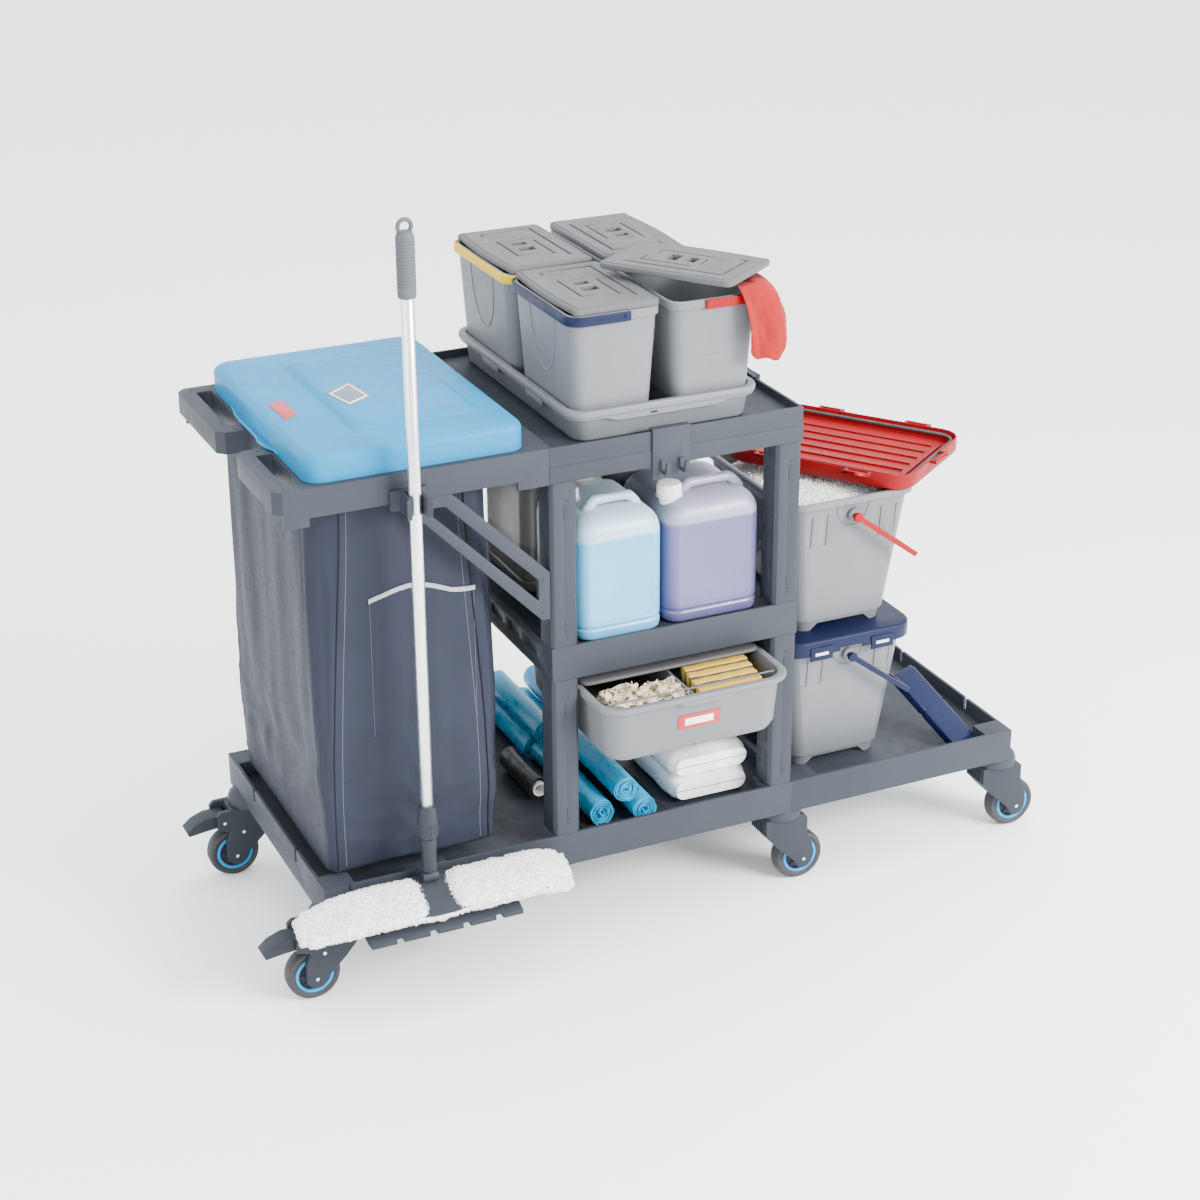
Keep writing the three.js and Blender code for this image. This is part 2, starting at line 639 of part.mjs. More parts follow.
function mopPad() {
  const high = -PLATE_DROP - MOP_PLATE - GAP;
  return slab(PAD_REACH, high, high - PAD_THICK + GAP, PAD_LEFT, PAD_LEFT + MOP_LENGTH);
}

add('mop_clip', mopClip(), CASTER_GREY);
add('mop_rest', mopRest(), CASTER_GREY);
add('mop_pole', mopPole(), ALUMINIUM);
add('mop_grip', mopGrip(), GRIP_GREY);
add('mop_frame', mopFrame(), CASTER_GREY);
add('mop_pad', mopPad(), MOP_WHITE);

// ---- hook plate on the top shelf --------------------------------------------------------------
const HOOK_X = [632, 704];
const HOOK_WIDTH = 8;

function hookPlate() {
  const [x0, x1] = HOOK_X;
  const plate = box(x0, x1, -5, -GAP, TOP - 88, TOP + 5);
  const cap = box(x0, x1, -5, WALL + 4, TOP + GAP, TOP + 5);
  const pieces = [plate, cap];
  for (const x of [x0 + 14, x1 - 14 - HOOK_WIDTH]) {
    const z = TOP - 70;
    const profile = [
      [-4, z + 18], [-4, z - 4], [-22, z - 6], [-30, z + 2], [-31, z + 18], [-26, z + 18],
      [-25, z + 5], [-20, z], [-11, z + 2], [-10, z + 18],
    ];
    pieces.push(prism('x', profile.reverse(), x, x + HOOK_WIDTH));
  }
  return union(pieces);
}

add('hook_plate', hookPlate(), FRAME_GREY);

// ---- tray with the four small buckets -----------------------------------------------------------
const BUCKET_HANDLE = 4; // thickness of a small bucket's handle
const HANDLE_CLEAR = 0.7;
const BUCKET_SPACE_X = 18; // between the left and the right rims
const BUCKET_LEFT = 493; // outer edge of the left rims
const BUCKET_FRONT = 24;
const TRAY_FLOOR = SHELF_FLOOR + 7;
const TRAY_RIM_Z = TRAY_FLOOR + 53;
const TRAY_WALL = 3;
const TRAY_MARGIN = 3; // tray rim beyond the bucket rims
const TRAY_SLOPE = 18;
const BUCKET_FOOT = TRAY_FLOOR + GAP;
const BUCKET_RIM_Z = BUCKET_FOOT + BUCKET_H;
const BUCKET_WALL = 3;
const BUCKET_TAPER = 32; // rim to foot, over the width
const SMALL_LID = 12;
const LOOSE_LID_RISE = 16;
const LOOSE_LID_TURN = THREE.MathUtils.degToRad(36);
const BUCKET_PITCH_Y = BUCKET_D + 2 * BUCKET_HANDLE + 4 * HANDLE_CLEAR;
const BUCKET_PITCH_X = BUCKET_W + BUCKET_SPACE_X;
const TRAY_W = BUCKET_W + BUCKET_PITCH_X + 2 * TRAY_MARGIN;
const TRAY_D = BUCKET_D + BUCKET_PITCH_Y + 2 * TRAY_MARGIN;
const TRAY_CENTRE_X = BUCKET_LEFT + (BUCKET_W + BUCKET_PITCH_X) / 2;
const TRAY_CENTRE_Y = BUCKET_FRONT + (BUCKET_D + BUCKET_PITCH_Y) / 2;

function bucketTray() {
  const cx = TRAY_CENTRE_X;
  const cy = TRAY_CENTRE_Y;
  const w = TRAY_W;
  const d = TRAY_D;
  const z0 = SHELF_FLOOR + GAP;
  return loft([
    level(cx, cy, w - 2 * TRAY_SLOPE, d - 2 * TRAY_SLOPE, 26, z0),
    level(cx, cy, w - 20, d - 20, 30, TRAY_RIM_Z - 12),
    level(cx, cy, w - 4, d - 4, 34, TRAY_RIM_Z - 12),
    level(cx, cy, w, d, 36, TRAY_RIM_Z - 8),
    level(cx, cy, w, d, 36, TRAY_RIM_Z),
    level(cx, cy, w - 20 - 2 * TRAY_WALL, d - 20 - 2 * TRAY_WALL, 28, TRAY_RIM_Z),
    level(cx, cy, w - 2 * TRAY_SLOPE - TRAY_WALL, d - 2 * TRAY_SLOPE - TRAY_WALL, 24, TRAY_FLOOR),
  ]);
}

// A small bucket with its rim centred on the origin in plan and its foot at height 0.
function smallBucket() {
  const w = BUCKET_W;
  const d = BUCKET_D;
  const t = 2 * BUCKET_WALL;
  const step = 34;
  const rimLow = BUCKET_H - 16;
  return loft([
    level(0, 0, w - BUCKET_TAPER - 10, d - BUCKET_TAPER - 10, 18, 0),
    level(0, 0, w - BUCKET_TAPER - 6, d - BUCKET_TAPER - 6, 20, step),
    level(0, 0, w - BUCKET_TAPER + 6, d - BUCKET_TAPER + 6, 22, step + 14),
    level(0, 0, w - 8, d - 8, 24, rimLow),
    level(0, 0, w, d, 26, rimLow),
    level(0, 0, w, d, 26, BUCKET_H),
    level(0, 0, w - 8 - t, d - 8 - t, 22, BUCKET_H),
    level(0, 0, w - BUCKET_TAPER + 6 - t, d - BUCKET_TAPER + 6 - t, 19, step + 14),
    level(0, 0, w - BUCKET_TAPER - 6 - t, d - BUCKET_TAPER - 6 - t, 17, step),
    level(0, 0, w - BUCKET_TAPER - 10 - t, d - BUCKET_TAPER - 10 - t, 15, BUCKET_WALL),
  ]);
}

// Its lid, with one long side bowed out towards -X.
function smallLid() {
  const inset = 2;
  const x1 = BUCKET_W / 2 - inset;
  const side = BUCKET_D / 2 - inset;
  const bow = 7;
  const corner = 14;
  function outline(shrink) {
    const points = [];
    const steps = 6;
    for (let i = 0; i <= steps; i += 1) {
      const y = side - corner - ((2 * side - 2 * corner) * i) / steps;
      const swell = bow * Math.cos((Math.PI / 2) * (y / side));
      points.push([-BUCKET_W / 2 + 4 + bow - swell + shrink, y]);
    }
    points.push([-x1 + corner + shrink, -side + shrink]);
    points.push([x1 - corner, -side + shrink], [x1 - shrink, -side + corner]);
    points.push([x1 - shrink, side - corner], [x1 - corner, side - shrink]);
    points.push([-x1 + corner + shrink, side - shrink]);
    return points;
  }
  const rings = [[0, 0], [0, SMALL_LID - 3], [3, SMALL_LID]];
  return loft(rings.map(([shrink, z]) => outline(shrink).map(([x, y]) => [x, y, z])));
}

const HANDLE_BAND = 14;
const HANDLE_PIVOT = 0.6; // share of the width from the handle's side to its pivots
const HANDLE_PIVOT_DROP = 8; // rim to the pivot

// Its U handle lies around the rim's -X side, hinged on both short sides.
function smallHandle() {
  const outerX = BUCKET_W / 2 + HANDLE_CLEAR + BUCKET_HANDLE;
  const outerY = BUCKET_D / 2 + HANDLE_CLEAR + BUCKET_HANDLE;
  const pivotX = -BUCKET_W / 2 + HANDLE_PIVOT * BUCKET_W;
  const end = pivotX + HANDLE_BAND / 2;
  const z0 = -HANDLE_BAND / 2;
  const radius = 28;
  const slit = 2 * BUCKET_HANDLE;
  const outer = loft([
    level(0, 0, 2 * outerX, 2 * outerY, radius, z0, 4),
    level(0, 0, 2 * outerX, 2 * outerY, radius, -z0, 4),
  ]);
  const inner = loft([
    level(0, 0, 2 * outerX - slit, 2 * outerY - slit, radius - BUCKET_HANDLE, z0 - 1, 4),
    level(0, 0, 2 * outerX - slit, 2 * outerY - slit, radius - BUCKET_HANDLE, 1 - z0, 4),
  ]);
  const rest = box(end, outerX + 1, -outerY - 1, outerY + 1, z0 - 1, 1 - z0);
  return cut(outer, [inner, rest]);
}

const trayGroup = new THREE.Group();
cart.add(trayGroup);
add('bucket_tray', bucketTray(), BUCKET_GREY, trayGroup);
const SMALL_BUCKETS = [
  ['front_left', 0, 0, NAVY], ['rear_left', 0, 1, YELLOW],
  ['front_right', 1, 0, RED], ['rear_right', 1, 1, GREEN],
];
for (const [place, column, row, colour] of SMALL_BUCKETS) {
  const group = new THREE.Group();
  const x = BUCKET_LEFT + BUCKET_W / 2 + column * BUCKET_PITCH_X;
  const y = BUCKET_FRONT + BUCKET_D / 2 + row * BUCKET_PITCH_Y;
  group.position.set(x, y, BUCKET_FOOT);
  group.rotation.z = column * Math.PI;
  cart.add(group);
  add(`bucket_${place}`, smallBucket(), BUCKET_GREY, group);
  const lid = add(`bucket_lid_${place}`, smallLid(), LID_GREY, group);
  lid.position.z = BUCKET_H + GAP;
  if (place === 'front_right') {
    lid.position.set(8, 22, BUCKET_H + SMALL_LID + LOOSE_LID_RISE);
    lid.rotation.z = LOOSE_LID_TURN;
  }
  const handle = add(`bucket_handle_${place}`, smallHandle(), colour, group);
  handle.position.z = BUCKET_H - HANDLE_PIVOT_DROP;
}

// The folded cleaning cloth over the front right bucket's outer corner.
function cloth() {
  const x = BUCKET_LEFT + BUCKET_W + BUCKET_PITCH_X + BUCKET_HANDLE + 2;
  const top = BUCKET_RIM_Z + 4;
  const profile = [
    [x - 52, top], [x - 52, top + 8], [x + 6, top + 8], [x + 20, top - 6], [x + 24, top - 120],
    [x + 2, top - 132], [x + 1, top],
  ];
  return prism('y', profile.reverse(), BUCKET_FRONT + 26, BUCKET_FRONT + 112);
}

add('red_cloth', cloth(), CLOTH_RED);

// ---- large buckets -----------------------------------------------------------------------------
const LARGE_CENTRE_X = SEAM + 15 + LARGE_W / 2;
const LARGE_FRONT = 58;
const LARGE_CENTRE_Y = LARGE_FRONT + LARGE_D / 2;
const LARGE_TAPER = 74;
const LARGE_WALL = 3.5;
const FOOT_RAISE = 20;
const LARGE_LID_SKIRT = 30;
const LARGE_LID_TOP = 9;
const LARGE_PIVOT_DROP = 36;
const BAIL_R = 156;
const BAIL_BAR = 10;
const BAIL_CLEAR = 5; // rim to the bail's arms
const BAIL_REST = THREE.MathUtils.degToRad(-37);
const LOWER_Z = BASE_FLOOR + GAP;
const UPPER_Z = LOWER_Z + LARGE_H + LARGE_LID_TOP + GAP;
const RED_LID_TURN = THREE.MathUtils.degToRad(36);

// A large bucket, rim centred on the origin in plan, foot ring at height 0.
function largeBucket() {
  const w = LARGE_W;
  const d = LARGE_D;
  const t = 2 * LARGE_WALL;
  const w0 = w - LARGE_TAPER;
  const d0 = d - LARGE_TAPER;
  const shell = loft([
    level(0, 0, w0, d0, 30, FOOT_RAISE, 4),
    level(0, 0, w - 20, d - 20, 34, LARGE_H - 12, 4),
    level(0, 0, w, d, 40, LARGE_H - 12, 4),
    level(0, 0, w, d, 40, LARGE_H, 4),
    level(0, 0, w - 20 - t, d - 20 - t, 31, LARGE_H, 4),
    level(0, 0, w0 - t, d0 - t, 27, FOOT_RAISE + LARGE_WALL, 4),
  ]);
  const footOuter = loft([
    level(0, 0, w0 - 16, d0 - 16, 26, 0, 4),
    level(0, 0, w0 - 10, d0 - 10, 28, FOOT_RAISE + 1, 4),
  ]);
  const footInner = loft([
    level(0, 0, w0 - 28, d0 - 28, 20, -1, 4),
    level(0, 0, w0 - 28, d0 - 28, 20, FOOT_RAISE, 4),
  ]);
  const archX = [[-60, -1], [60, -1], [50, 14], [-50, 14]];
  const archY = [[-100, -1], [100, -1], [90, 14], [-90, 14]];
  const foot = cut(footOuter, [footInner, prism('y', archX, -d, d), prism('x', archY, -w, w)]);
  return shell.add(foot);
}

// Its lid: a panel with a skirt that hangs outside the rim.
function largeLid() {
  const w = LARGE_W + 8;
  const d = LARGE_D + 8;
  const inner = 5;
  const shell = loft([
    level(0, 0, w - inner, d - inner, 40, 0, 4),
    level(0, 0, w - inner, d - inner, 40, -LARGE_LID_SKIRT + LARGE_LID_TOP, 4),
    level(0, 0, w, d, 42, -LARGE_LID_SKIRT + LARGE_LID_TOP, 4),
    level(0, 0, w, d, 42, LARGE_LID_TOP - 3, 4),
    level(0, 0, w - 8, d - 8, 38, LARGE_LID_TOP, 4),
  ]);
  const notch = box(-24, 24, -d, d, -LARGE_LID_SKIRT, -14);
  return shell.subtract(notch);
}

// The bail lies against the bucket's +X side, hinged on both short sides.
function largeHandle() {
  const y1 = LARGE_D / 2 + BAIL_CLEAR;
  const y0 = y1 + BAIL_BAR - 3;
  const half = BAIL_BAR / 2;
  const pieces = [];
  for (const sign of [-1, 1]) {
    const [a, b] = sign < 0 ? [-y0, -y1] : [y1, y0];
    pieces.push(box(0, BAIL_R, a, b, -half, half));
    pieces.push(disc('y', 9, a, b, [0, 0, 0], 16));
    const stub = sign < 0 ? [-y1 - 1, -LARGE_D / 2 + 11.5] : [LARGE_D / 2 - 11.5, y1 + 1];
    pieces.push(disc('y', 6, stub[0], stub[1], [0, 0, 0], 12));
  }
  pieces.push(box(BAIL_R - half, BAIL_R + half, -y0, y0, -half, half));
  return union(pieces);
}

for (const [place, z, look] of [['lower', LOWER_Z, NAVY], ['upper', UPPER_Z, RED]]) {
  const group = new THREE.Group();
  group.position.set(LARGE_CENTRE_X, LARGE_CENTRE_Y, z);
  cart.add(group);
  add(`large_bucket_${place}`, largeBucket(), BUCKET_GREY, group);
  const lid = add(`large_lid_${place}`, largeLid(), look, group);
  lid.position.z = LARGE_H + GAP / 2;
  if (place === 'upper') {
    lid.position.set(94, 26, LARGE_H + LARGE_LID_TOP + 1);
    lid.rotation.set(Math.PI, 0, -RED_LID_TURN);
  }
  const bail = add(`large_handle_${place}`, largeHandle(), look, group);
  bail.position.z = LARGE_H - LARGE_PIVOT_DROP;
  bail.rotation.y = -BAIL_REST;
}

// ---- drawer ------------------------------------------------------------------------------------
const DRAWER_WALL = 3;
const DRAWER_RIM = 10;
const DRAWER_TAPER = 32;
const DRAWER_LID = 6;
const DRAWER_LID_FRONT = 118; // drawer front to the lid's front edge
const DRAWER_TOP = RAIL_LIP_TOP + GAP + DRAWER_RIM;
const DRAWER_Y0 = 5 - DRAWER_OUT;

function drawer() {
  const cx = (DRAWER_LEFT + DRAWER_RIGHT) / 2;
  const cy = DRAWER_Y0 + DRAWER_LENGTH / 2;
  const w = DRAWER_RIGHT - DRAWER_LEFT;
  const d = DRAWER_LENGTH;
  const z0 = DRAWER_TOP - DRAWER_HEIGHT;
  const rimZ = DRAWER_TOP - DRAWER_RIM;
  const side = 2 * DRAWER_FLANGE;
  const t = 2 * DRAWER_WALL;
  const shell = loft([
    level(cx, cy, w - side - DRAWER_TAPER + 12, d - side - DRAWER_TAPER, 34, z0, 5),
    level(cx, cy, w - side - 12, d - side - 12, 40, z0 + 18, 5),
    level(cx, cy, w - side, d - side, 42, rimZ, 5),
    level(cx, cy, w, d, 48, rimZ, 5),
    level(cx, cy, w, d, 48, DRAWER_TOP, 5),
    level(cx, cy, w - side - t, d - side - t, 39, DRAWER_TOP, 5),
    level(cx, cy, w - side - 12 - t, d - side - 12 - t, 37, z0 + 18, 5),
    level(cx, cy, w - side - DRAWER_TAPER + 12 - t, d - side - DRAWER_TAPER - t, 31, z0 + DRAWER_WALL, 5),
  ]);
  const wallY = [DRAWER_Y0 + 20, DRAWER_Y0 + DRAWER_LENGTH - 20];
  const divider = box(cx - 1.5, cx + 1.5, wallY[0], wallY[1], z0 + 1, rimZ - 4);
  const outline = loft([
    level(cx, cy, w - side - 14, d - side - 14, 36, z0 - 1, 5),
    level(cx, cy, w - side - 2, d - side - 2, 41, rimZ, 5),
  ]);
  return shell.add(divider.intersect(outline));
}

function drawerLid() {
  const inset = 9;
  const y0 = DRAWER_Y0 + DRAWER_LID_FRONT;
  const y1 = DRAWER_Y0 + DRAWER_LENGTH - 150;
  const cx = (DRAWER_LEFT + DRAWER_RIGHT) / 2;
  const cy = (y0 + y1) / 2;
  const w = DRAWER_RIGHT - DRAWER_LEFT - 2 * inset;
  const z0 = DRAWER_TOP + GAP;
  return loft([
    level(cx, cy, w, y1 - y0, 18, z0, 4),
    level(cx, cy, w, y1 - y0, 18, z0 + DRAWER_LID - 2, 4),
    level(cx, cy, w - 6, y1 - y0 - 6, 16, z0 + DRAWER_LID, 4),
  ]);
}

add('drawer', drawer(), BUCKET_GREY);
add('drawer_lid', drawerLid(), LID_GREY);

// ---- the floor under the middle of the cart is the origin -----------------------------------------
const bounds = new THREE.Box3().setFromObject(cart);
const part = new THREE.Group();
cart.position.set(-(bounds.min.x + bounds.max.x) / 2, -(bounds.min.y + bounds.max.y) / 2, -bounds.min.z);
part.add(cart);

export default part;
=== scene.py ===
"""A moulded housekeeping cart with its bag, buckets, drawer, mop and supplies."""
import json
import math
import random
import bmesh
import bpy
from mathutils import Matrix, Vector, noise


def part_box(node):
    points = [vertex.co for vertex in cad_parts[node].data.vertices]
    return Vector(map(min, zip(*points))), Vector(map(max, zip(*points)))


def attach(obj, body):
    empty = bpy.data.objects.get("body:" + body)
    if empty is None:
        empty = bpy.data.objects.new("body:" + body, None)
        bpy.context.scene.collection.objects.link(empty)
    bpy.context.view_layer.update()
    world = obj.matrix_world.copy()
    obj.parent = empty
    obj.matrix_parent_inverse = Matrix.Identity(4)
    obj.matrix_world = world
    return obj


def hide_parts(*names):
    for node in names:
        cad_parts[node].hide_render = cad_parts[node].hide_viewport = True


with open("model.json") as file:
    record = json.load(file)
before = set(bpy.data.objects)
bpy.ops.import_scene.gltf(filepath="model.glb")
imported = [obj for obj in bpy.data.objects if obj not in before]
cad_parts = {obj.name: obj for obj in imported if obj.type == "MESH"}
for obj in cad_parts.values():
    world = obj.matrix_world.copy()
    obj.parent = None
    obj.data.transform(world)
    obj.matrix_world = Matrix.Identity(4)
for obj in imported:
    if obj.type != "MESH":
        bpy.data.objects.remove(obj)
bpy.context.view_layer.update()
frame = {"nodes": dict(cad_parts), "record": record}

# ---- Studio --------------------------------------------------------------------------------------
# A pale seamless floor, a long lens at standing height to the cart's left front, and three
# soft boxes: a broad one overhead, the key at the front and a weak one on the left.
MM = 0.001
BAY_LEFT, BAY_RIGHT, DEPTH = 440, 930, 570  # the shelves' ends and the frame's depth
shelf_low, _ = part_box("middle_shelf")
CORNER = Vector((shelf_low.x - BAY_LEFT * MM, shelf_low.y, 0.0))  # left front corner of the frame
BODY_OF = {}
for body_name, node_names in frame["record"]["behaviour"]["bodies"].items():
    for node_name in node_names:
        BODY_OF[node_name] = body_name


def place(x, y, z, turn=0.0):
    """Moves a shape drawn in millimetres at zero to a spot measured from the frame's corner."""
    spot = CORNER + Vector((x, y, z)) * MM
    return Matrix.Translation(spot) @ Matrix.Rotation(math.radians(turn), 4, "Z")


camera_data = bpy.data.cameras.new("camera")
camera_data.lens = 72.68
camera_data.sensor_width = 36.0
camera_data.clip_end = 60.0
camera = bpy.data.objects.new("camera", camera_data)
bpy.context.scene.collection.objects.link(camera)
camera.location = place(-1086.3, -3512.9, 2425.0).translation
aim = Matrix.Rotation(math.radians(-24.742), 4, "Z") @ Matrix.Rotation(math.radians(65.817), 4, "X")
camera.rotation_euler = (aim @ Matrix.Rotation(math.radians(-0.327), 4, "Z")).to_euler()
bpy.context.scene.camera = camera


def soft_box(name, spot, target, width, power, colour=(1.0, 1.0, 1.0)):
    lamp = bpy.data.lights.new(name, "AREA")
    lamp.shape = "RECTANGLE"
    lamp.size = width
    lamp.size_y = width * 0.7
    lamp.energy = power
    lamp.color = colour
    holder = bpy.data.objects.new(name, lamp)
    holder.location = spot
    holder.rotation_euler = (Vector(target) - Vector(spot)).to_track_quat("-Z", "Y").to_euler()
    bpy.context.scene.collection.objects.link(holder)


soft_box("overhead", (0.3, 0.2, 4.2), (0.0, 0.0, 0.4), 3.6, 120)
soft_box("key", (2.3, -3.6, 2.7), (0.1, 0.0, 0.6), 2.2, 620, (1.0, 0.99, 0.97))
soft_box("left_fill", (-3.8, -1.6, 2.0), (0.0, 0.0, 0.6), 2.4, 45, (0.96, 0.98, 1.0))
world = bpy.data.worlds.new("studio")
world.use_nodes = True
world.node_tree.nodes["Background"].inputs["Color"].default_value = (0.95, 0.97, 1.0, 1.0)
world.node_tree.nodes["Background"].inputs["Strength"].default_value = 2.9
bpy.context.scene.world = world

floor_mesh = bpy.data.meshes.new("floor")
floor_mesh.from_pydata([(-14, -14, 0), (14, -14, 0), (14, 14, 0), (-14, 14, 0)], [], [(0, 1, 2, 3)])
floor = bpy.data.objects.new("floor", floor_mesh)
bpy.context.scene.collection.objects.link(floor)
floor_paint = bpy.data.materials.new("pale_floor")
floor_paint.use_nodes = True
floor_paint.node_tree.nodes["Principled BSDF"].inputs["Base Color"].default_value = (0.97, 0.97, 0.97, 1)
floor_paint.node_tree.nodes["Principled BSDF"].inputs["Roughness"].default_value = 0.9
floor_mesh.materials.append(floor_paint)

# ---- Base deck, low tray and shelves -------------------------------------------------------------
# Four injection moulded trays of slate grey polypropylene. Each has a rim, a recessed floor and
# a skirt; ribs stiffen them below, and the top one has a stepped band around its rim.
FRAME_GREY = (0.0275, 0.0325, 0.0415)
RIB_PITCH = 95  # between the ribs under a floor
RIB_THICK = 2.5


def wired(name):
    """A new material with its tree, its shader and the object coordinates."""
    paint = bpy.data.materials.new(name)
    paint.use_nodes = True
    tree = paint.node_tree
    shader = tree.nodes["Principled BSDF"]
    where = tree.nodes.new("ShaderNodeTexCoord").outputs["Object"]
    return paint, tree, shader, where


def cloudy(tree, where, scale, detail=4.0, rough=0.55, stretch=None):
    """A noise value over the surface, drawn out along an axis when stretch is given."""
    if stretch:
        mapping = tree.nodes.new("ShaderNodeMapping")
        mapping.inputs["Scale"].default_value = stretch
        tree.links.new(where, mapping.inputs["Vector"])
        where = mapping.outputs["Vector"]
    cloud = tree.nodes.new("ShaderNodeTexNoise")
    cloud.inputs["Scale"].default_value = scale
    cloud.inputs["Detail"].default_value = detail
    cloud.inputs["Roughness"].default_value = rough
    tree.links.new(where, cloud.inputs["Vector"])
    return cloud.outputs["Fac"]


def ranged(tree, value, low, high, new_low, new_high):
    scale = tree.nodes.new("ShaderNodeMapRange")
    for socket, number in zip(scale.inputs[1:5], (low, high, new_low, new_high)):
        socket.default_value = number
    tree.links.new(value, scale.inputs["Value"])
    return scale.outputs["Result"]


def blended(tree, share, first, second):
    """Mixes two colours, each a plain colour or a socket, by a share."""
    mix = tree.nodes.new("ShaderNodeMix")
    mix.data_type = "RGBA"
    tree.links.new(share, mix.inputs["Factor"])
    for socket, colour in ((mix.inputs[6], first), (mix.inputs[7], second)):
        if isinstance(colour, tuple):
            socket.default_value = (*colour, 1.0)
        else:
            tree.links.new(colour, socket)
    return mix.outputs[2]


def raised(tree, shader, height, strength, distance):
    bump = tree.nodes.new("ShaderNodeBump")
    bump.inputs["Strength"].default_value = strength
    bump.inputs["Distance"].default_value = distance * MM
    tree.links.new(height, bump.inputs["Height"])
    tree.links.new(bump.outputs["Normal"], shader.inputs["Normal"])


def shade(colour, factor):
    return tuple(min(1.0, channel * factor) for channel in colour)


def moulded(name, colour, rough=0.48, grain=900, depth=0.12, scuff=0.35):
    """Moulded plastic: flow mottling, faint scuffs that also dull it, and a fine cast grain."""
    paint, tree, shader, where = wired(name)
    flow = cloudy(tree, where, 6.0, 3.0, stretch=(1.0, 1.0, 0.35))
    base = blended(tree, ranged(tree, flow, 0.3, 0.7, 0, 1), shade(colour, 0.93), shade(colour, 1.06))
    wear = cloudy(tree, where, 34.0, 9.0, 0.7)
    marks = ranged(tree, wear, 0.62, 0.76, 0.0, scuff)
    pale = tuple(0.9 * channel + 0.016 for channel in colour)
    tree.links.new(blended(tree, marks, base, pale), shader.inputs["Base Color"])
    tree.links.new(ranged(tree, wear, 0.35, 0.75, rough - 0.05, rough + 0.12), shader.inputs["Roughness"])
    shader.inputs["Specular IOR Level"].default_value = 0.16
    raised(tree, shader, cloudy(tree, where, grain, 2.0), depth, 0.25)
    return paint


def skin(bm, rings, start=True, end=True, closed=True):
    """Joins rings of points in millimetres with faces, and closes the first and last."""
    rows = [[bm.verts.new(Vector(point) * MM) for point in ring] for ring in rings]
    count = len(rows[0])
    for low, high in zip(rows, rows[1:]):
        for i in range(count if closed else count - 1):
            j = (i + 1) % count
            bm.faces.new((low[i], low[j], high[j], high[i]))
    if start:
        bm.faces.new(rows[0][::-1])
    if end:
        bm.faces.new(rows[-1])
    return rows


def block(bm, x0, x1, y0, y1, z0, z1):
    skin(bm, [[(x0, y0, z), (x1, y0, z), (x1, y1, z), (x0, y1, z)] for z in (z0, z1)])


def plank(bm, axis, outline, start, end):
    """A flat outline pushed along an axis: x reads (y, z), y reads (x, z), z reads (x, y)."""
    spots = {
        "x": lambda u, v, w: (w, u, v),
        "y": lambda u, v, w: (u, w, v),
        "z": lambda u, v, w: (u, v, w),
    }
    skin(bm, [[spots[axis](u, v, w) for u, v in outline] for w in (start, end)])


def rounded(cx, cy, width, depth, radius, z, steps=7):
    """A level ring: a rectangle with rounded corners."""
    ring = []
    for sx, sy, first in ((1, 1, 0), (-1, 1, 90), (-1, -1, 180), (1, -1, 270)):
        for step in range(steps + 1):
            angle = math.radians(first + 90 * step / steps)
            x = cx + sx * (width / 2 - radius) + radius * math.cos(angle)
            y = cy + sy * (depth / 2 - radius) + radius * math.sin(angle)
            ring.append((x, y, z))
    return ring


def stacked(cx, cy, width, depth, profile, steps=7):
    """Rounded rings up a profile of (inset, corner radius, height)."""
    return [rounded(cx, cy, width - 2 * inset, depth - 2 * inset, radius, z, steps)
            for inset, radius, z in profile]


def applied(piece):
    """Turns a piece and its modifiers into a plain mesh."""
    shown = piece.evaluated_get(bpy.context.evaluated_depsgraph_get())
    mesh = bpy.data.meshes.new_from_object(shown)
    piece.modifiers.clear()
    piece.data = mesh
    return piece


def bevelled(piece, edge, segments=2, miter="MITER_SHARP"):
    """Rounds the edges sharper than 30 degrees; edge is in millimetres."""
    bevel = piece.modifiers.new("edges", "BEVEL")
    bevel.width = edge * MM
    bevel.segments = segments
    bevel.limit_method = "ANGLE"
    bevel.angle_limit = math.radians(30)
    bevel.miter_outer = miter
    applied(piece)


def thickened(piece, body, wall, offset=-1):
    """Gives a sheet its thickness, then puts it back on its body."""
    solid = piece.modifiers.new("thickness", "SOLIDIFY")
    solid.thickness = wall * MM
    solid.offset = offset
    applied(piece)
    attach(piece, body)


def finished(name, bm, body, look, stands_for=(), edge=0.0, move=None, angle=35,
             carve=None, segments=2, outward=True):
    """Makes a piece from a shape: carves it, rounds its edges and puts it on its body."""
    looks = look if isinstance(look, (list, tuple)) else [look]
    bmesh.ops.remove_doubles(bm, verts=bm.verts, dist=0.004 * MM)
    if outward:
        bmesh.ops.recalc_face_normals(bm, faces=bm.faces)
    where = place(0, 0, 0) if move is None else move
    bmesh.ops.transform(bm, matrix=where, verts=bm.verts)
    mesh = bpy.data.meshes.new(name)
    bm.to_mesh(mesh)
    bm.free()
    for paint in looks:
        mesh.materials.append(paint)
    piece = bpy.data.objects.new(name, mesh)
    bpy.context.scene.collection.objects.link(piece)
    if carve is not None:
        bmesh.ops.recalc_face_normals(carve, faces=carve.faces)
        bmesh.ops.transform(carve, matrix=where, verts=carve.verts)
        tool_mesh = bpy.data.meshes.new("tool")
        carve.to_mesh(tool_mesh)
        carve.free()
        tool = bpy.data.objects.new("tool", tool_mesh)
        bpy.context.scene.collection.objects.link(tool)
        cutting = piece.modifiers.new("carve", "BOOLEAN")
        cutting.object = tool
        cutting.solver = "EXACT"
        cutting.use_self = True
        applied(piece)
        bpy.data.objects.remove(tool)
    if edge:
        bevelled(piece, edge, segments, "MITER_ARC")
    piece.data.shade_smooth()
    piece.data.set_sharp_from_angle(angle=math.radians(angle))
    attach(piece, body)
    if stands_for:
        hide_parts(*stands_for)
    return piece


